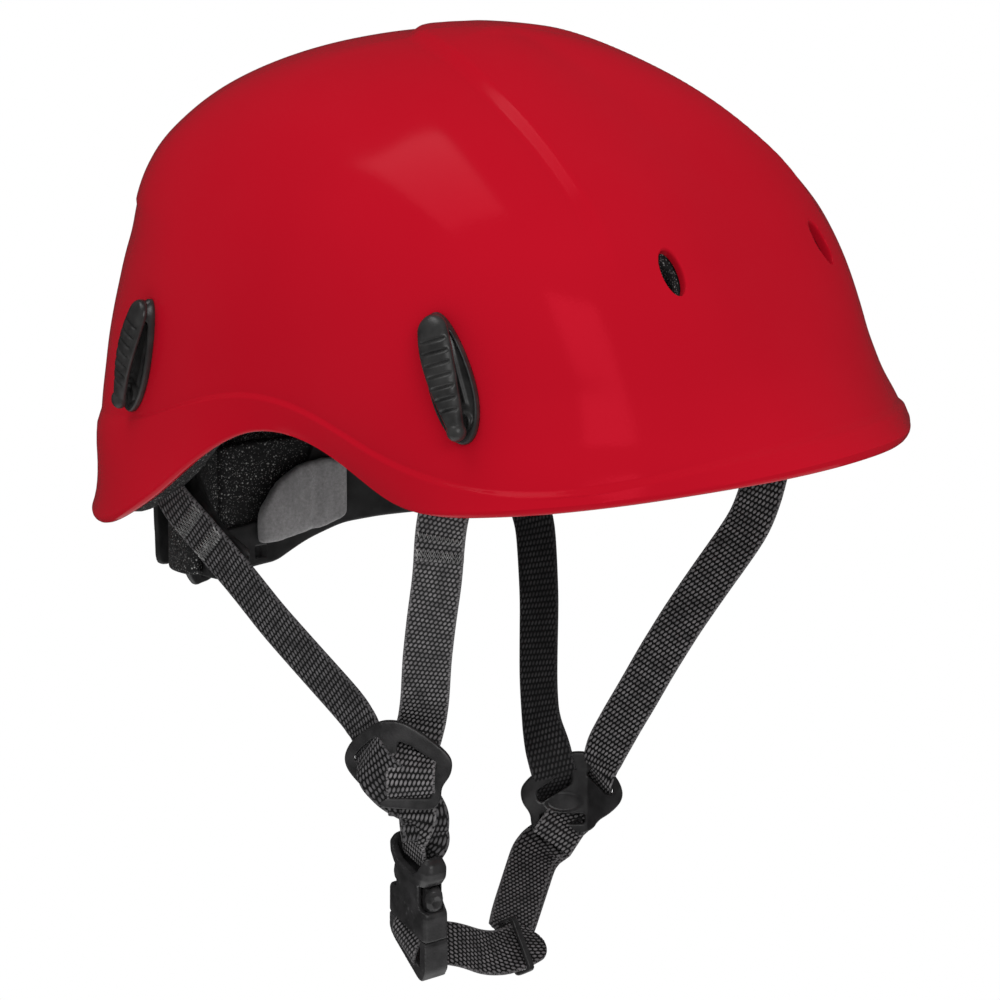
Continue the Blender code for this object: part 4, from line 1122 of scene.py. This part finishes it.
def buckle_loft(name, stations, shift=0.0):
    """Loft along the buckle through rows of (length, half-width, half-thickness, corner power)."""
    rows = np.array(stations, float)
    turn = circle(48)
    c, s = np.cos(turn), np.sin(turn)
    sections = []
    for b in np.linspace(rows[0, 0], rows[-1, 0], 90):
        width, thick, power = (np.interp(b, rows[:, 0], rows[:, k]) for k in (1, 2, 3))
        across, out = width * np.sign(c) * np.abs(c)**power, thick * np.sign(s) * np.abs(s)**power
        sections.append(place(BUCKLE, np.column_stack([across + shift, 0 * out + b, out])))
    return loft(name, sections, LOOKS["buckle"])


def flat(name, shape, low, high):
    """Plate in the buckle's plane."""
    return prism(name, BUCKLE, fillet(shape, 1.2, 5), low, high, "buckle")


def build_buckle():
    socket = buckle_loft("buckle_case", SOCKET)
    mouth = flat("mouth", box(-9.3, 9.3, -4, 8.2), -2.4, 2.6)
    lip = flat("lip", [(-9.8, -6), (9.8, -6), (9.0, 3.2), (5.5, 6.4), (-5.5, 6.4), (-9.0, 3.2)], 0.8, 9)
    cutters = [mouth, lip, flat("cavity", box(-10.4, 10.4, 10, 34), -2.5, 2.5)]
    for shape, low, high in (([(7.2, 9.6), (20, 9.6), (20, 19.8), (7.2, 19.0)], -3.4, 3.4),
                             ([(7.6, 9.8), (20, 9.8), (20, 19.6), (7.6, 18.6)], 2.2, 9)):
        cutters += [flat("window", [(sign * a, b) for a, b in shape], low, high) for sign in (-1, 1)]
    carve(socket, cutters)
    stand_for(mould(socket, 0.34, 7), BODY, "buckle", "buckle_socket")

    plug = flat("buckle_insert", PLUG_OUTLINE, -4.4, 4.4)
    hole = flat("hole", [(-9.8, 32.8), (8.8, 32.8), (8.4, 42.2), (-9.4, 36.4)], -8, 8)
    top = flat("top", box(-8.4, 8.4, 29, 35.5), 1.2, 8)
    carve(plug, [hole, top])
    core = flat("core", box(-1.7, 1.7, 13.5, 33), -1.6, 1.6)
    bar = flat("bar", box(-10, 10, 30.8, 33.2), -2.2, 2.2)
    join_solids(plug, [core, bar])
    stand_for(mould(plug, 0.34, 7), "plug", "buckle", "buckle_plug")
    for name, sign in (("front", -1), ("rear", 1)):
        prong = flat("buckle_prong_" + name, [(sign * a, b) for a, b in PRONG_OUTLINE], -2.2, 2.2)
        join_solids(prong, [buckle_loft("pad", PRONG_PAD, sign * PAD_ACROSS)])
        carve(prong, [buckle_loft("dish", PAD_DISH, sign * DISH_ACROSS)])
        stand_for(mould(prong, 0.25, 5), "prong_" + name, "buckle", "prong_" + name)


# ------------------------------------------------------------------ carried-over CAD nodes

def dress_frame():
    """Gives the shown CAD nodes their procedural materials."""
    for where in ("front_right", "front_left", "rear_right", "rear_left"):
        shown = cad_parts["strap_anchor_" + where]
        shown.data.materials.clear()
        shown.data.materials.append(LOOKS["band"])


# ------------------------------------------------------------------ camera, light and stage

CAMERA_AZIMUTH, CAMERA_ELEVATION = math.radians(38.0), math.radians(13.93)
CAMERA_PLACE, CAMERA_LENS, SENSOR_WIDTH = (0.91306, -1.16437, 0.33210), 163.636, 36
FLOOR_HALF, FLOOR_LEVEL = 1500, -1600
WORLD_SOFT, WORLD_GLOSS = 0.82, 0.03
LIGHT_POWER = 9


def aim(obj, direction):
    obj.rotation_mode = "QUATERNION"
    obj.rotation_quaternion = direction.to_track_quat("-Z", "Y")


def build_camera():
    camera = linked("camera", bpy.data.cameras.new("camera"))
    level, rise = math.cos(CAMERA_ELEVATION), math.sin(CAMERA_ELEVATION)
    back = Vector((math.sin(CAMERA_AZIMUTH) * level, -math.cos(CAMERA_AZIMUTH) * level, rise))
    camera.location = CAMERA_PLACE
    aim(camera, -back)
    camera.data.sensor_width, camera.data.lens = SENSOR_WIDTH, CAMERA_LENS
    camera.data.clip_start, camera.data.clip_end = 0.05, 50
    bpy.context.scene.camera = camera


def area_light(name, location, target, size):
    data = bpy.data.lights.new(name, "AREA")
    data.shape, data.size, data.energy = "SQUARE", size, LIGHT_POWER
    made = linked(name, data)
    made.location = location
    aim(made, Vector(target) - Vector(location))


def scaled(tree, value, factor, offset):
    """Socket with value * factor + offset."""
    node = tree.nodes.new("ShaderNodeMath")
    node.operation = "MULTIPLY_ADD"
    node.inputs[1].default_value = factor
    tree.links.new(value, node.inputs[0])
    if isinstance(offset, float):
        node.inputs[2].default_value = offset
    else:
        tree.links.new(offset, node.inputs[2])
    return node.outputs[0]


def build_stage():
    """Pale floor, and a world that is white to the camera, softer as light and dim in reflections."""
    corners = [(x, y, FLOOR_LEVEL) for x, y in box(-FLOOR_HALF, FLOOR_HALF, -FLOOR_HALF, FLOOR_HALF)]
    floor = make_object("floor", corners, [(0, 1, 2, 3)], floor_look())
    world = bpy.data.worlds.new("studio")
    bpy.context.scene.world = world
    world.use_nodes = True
    tree = world.node_tree
    path = tree.nodes.new("ShaderNodeLightPath")
    background = tree.nodes["Background"]
    background.inputs["Color"].default_value = (1, 1, 1, 1)
    seen = scaled(tree, path.outputs["Is Camera Ray"], 1.0 - WORLD_SOFT, WORLD_SOFT)
    dull = scaled(tree, path.outputs["Is Glossy Ray"], WORLD_GLOSS - WORLD_SOFT, seen)
    tree.links.new(dull, background.inputs["Strength"])
    area_light("key", (-0.43, -0.62, 1.65), (0, -0.02, 0.02), 1.0)
    area_light("front", (1.5, -1.1, 0.9), (0, 0, 0), 0.8)
    view = bpy.context.scene.view_settings
    view.view_transform, view.look, view.exposure = "Standard", "None", 0.0


build_camera()
build_stage()
build_shell()
build_liner()
build_head_ring()
build_cradle()
build_adjuster()
build_clips()
build_divider("right", DIVIDER_RIGHT)
build_divider("left", DIVIDER_LEFT)
build_straps()
build_chin()
build_keeper()
build_buckle()
dress_frame()
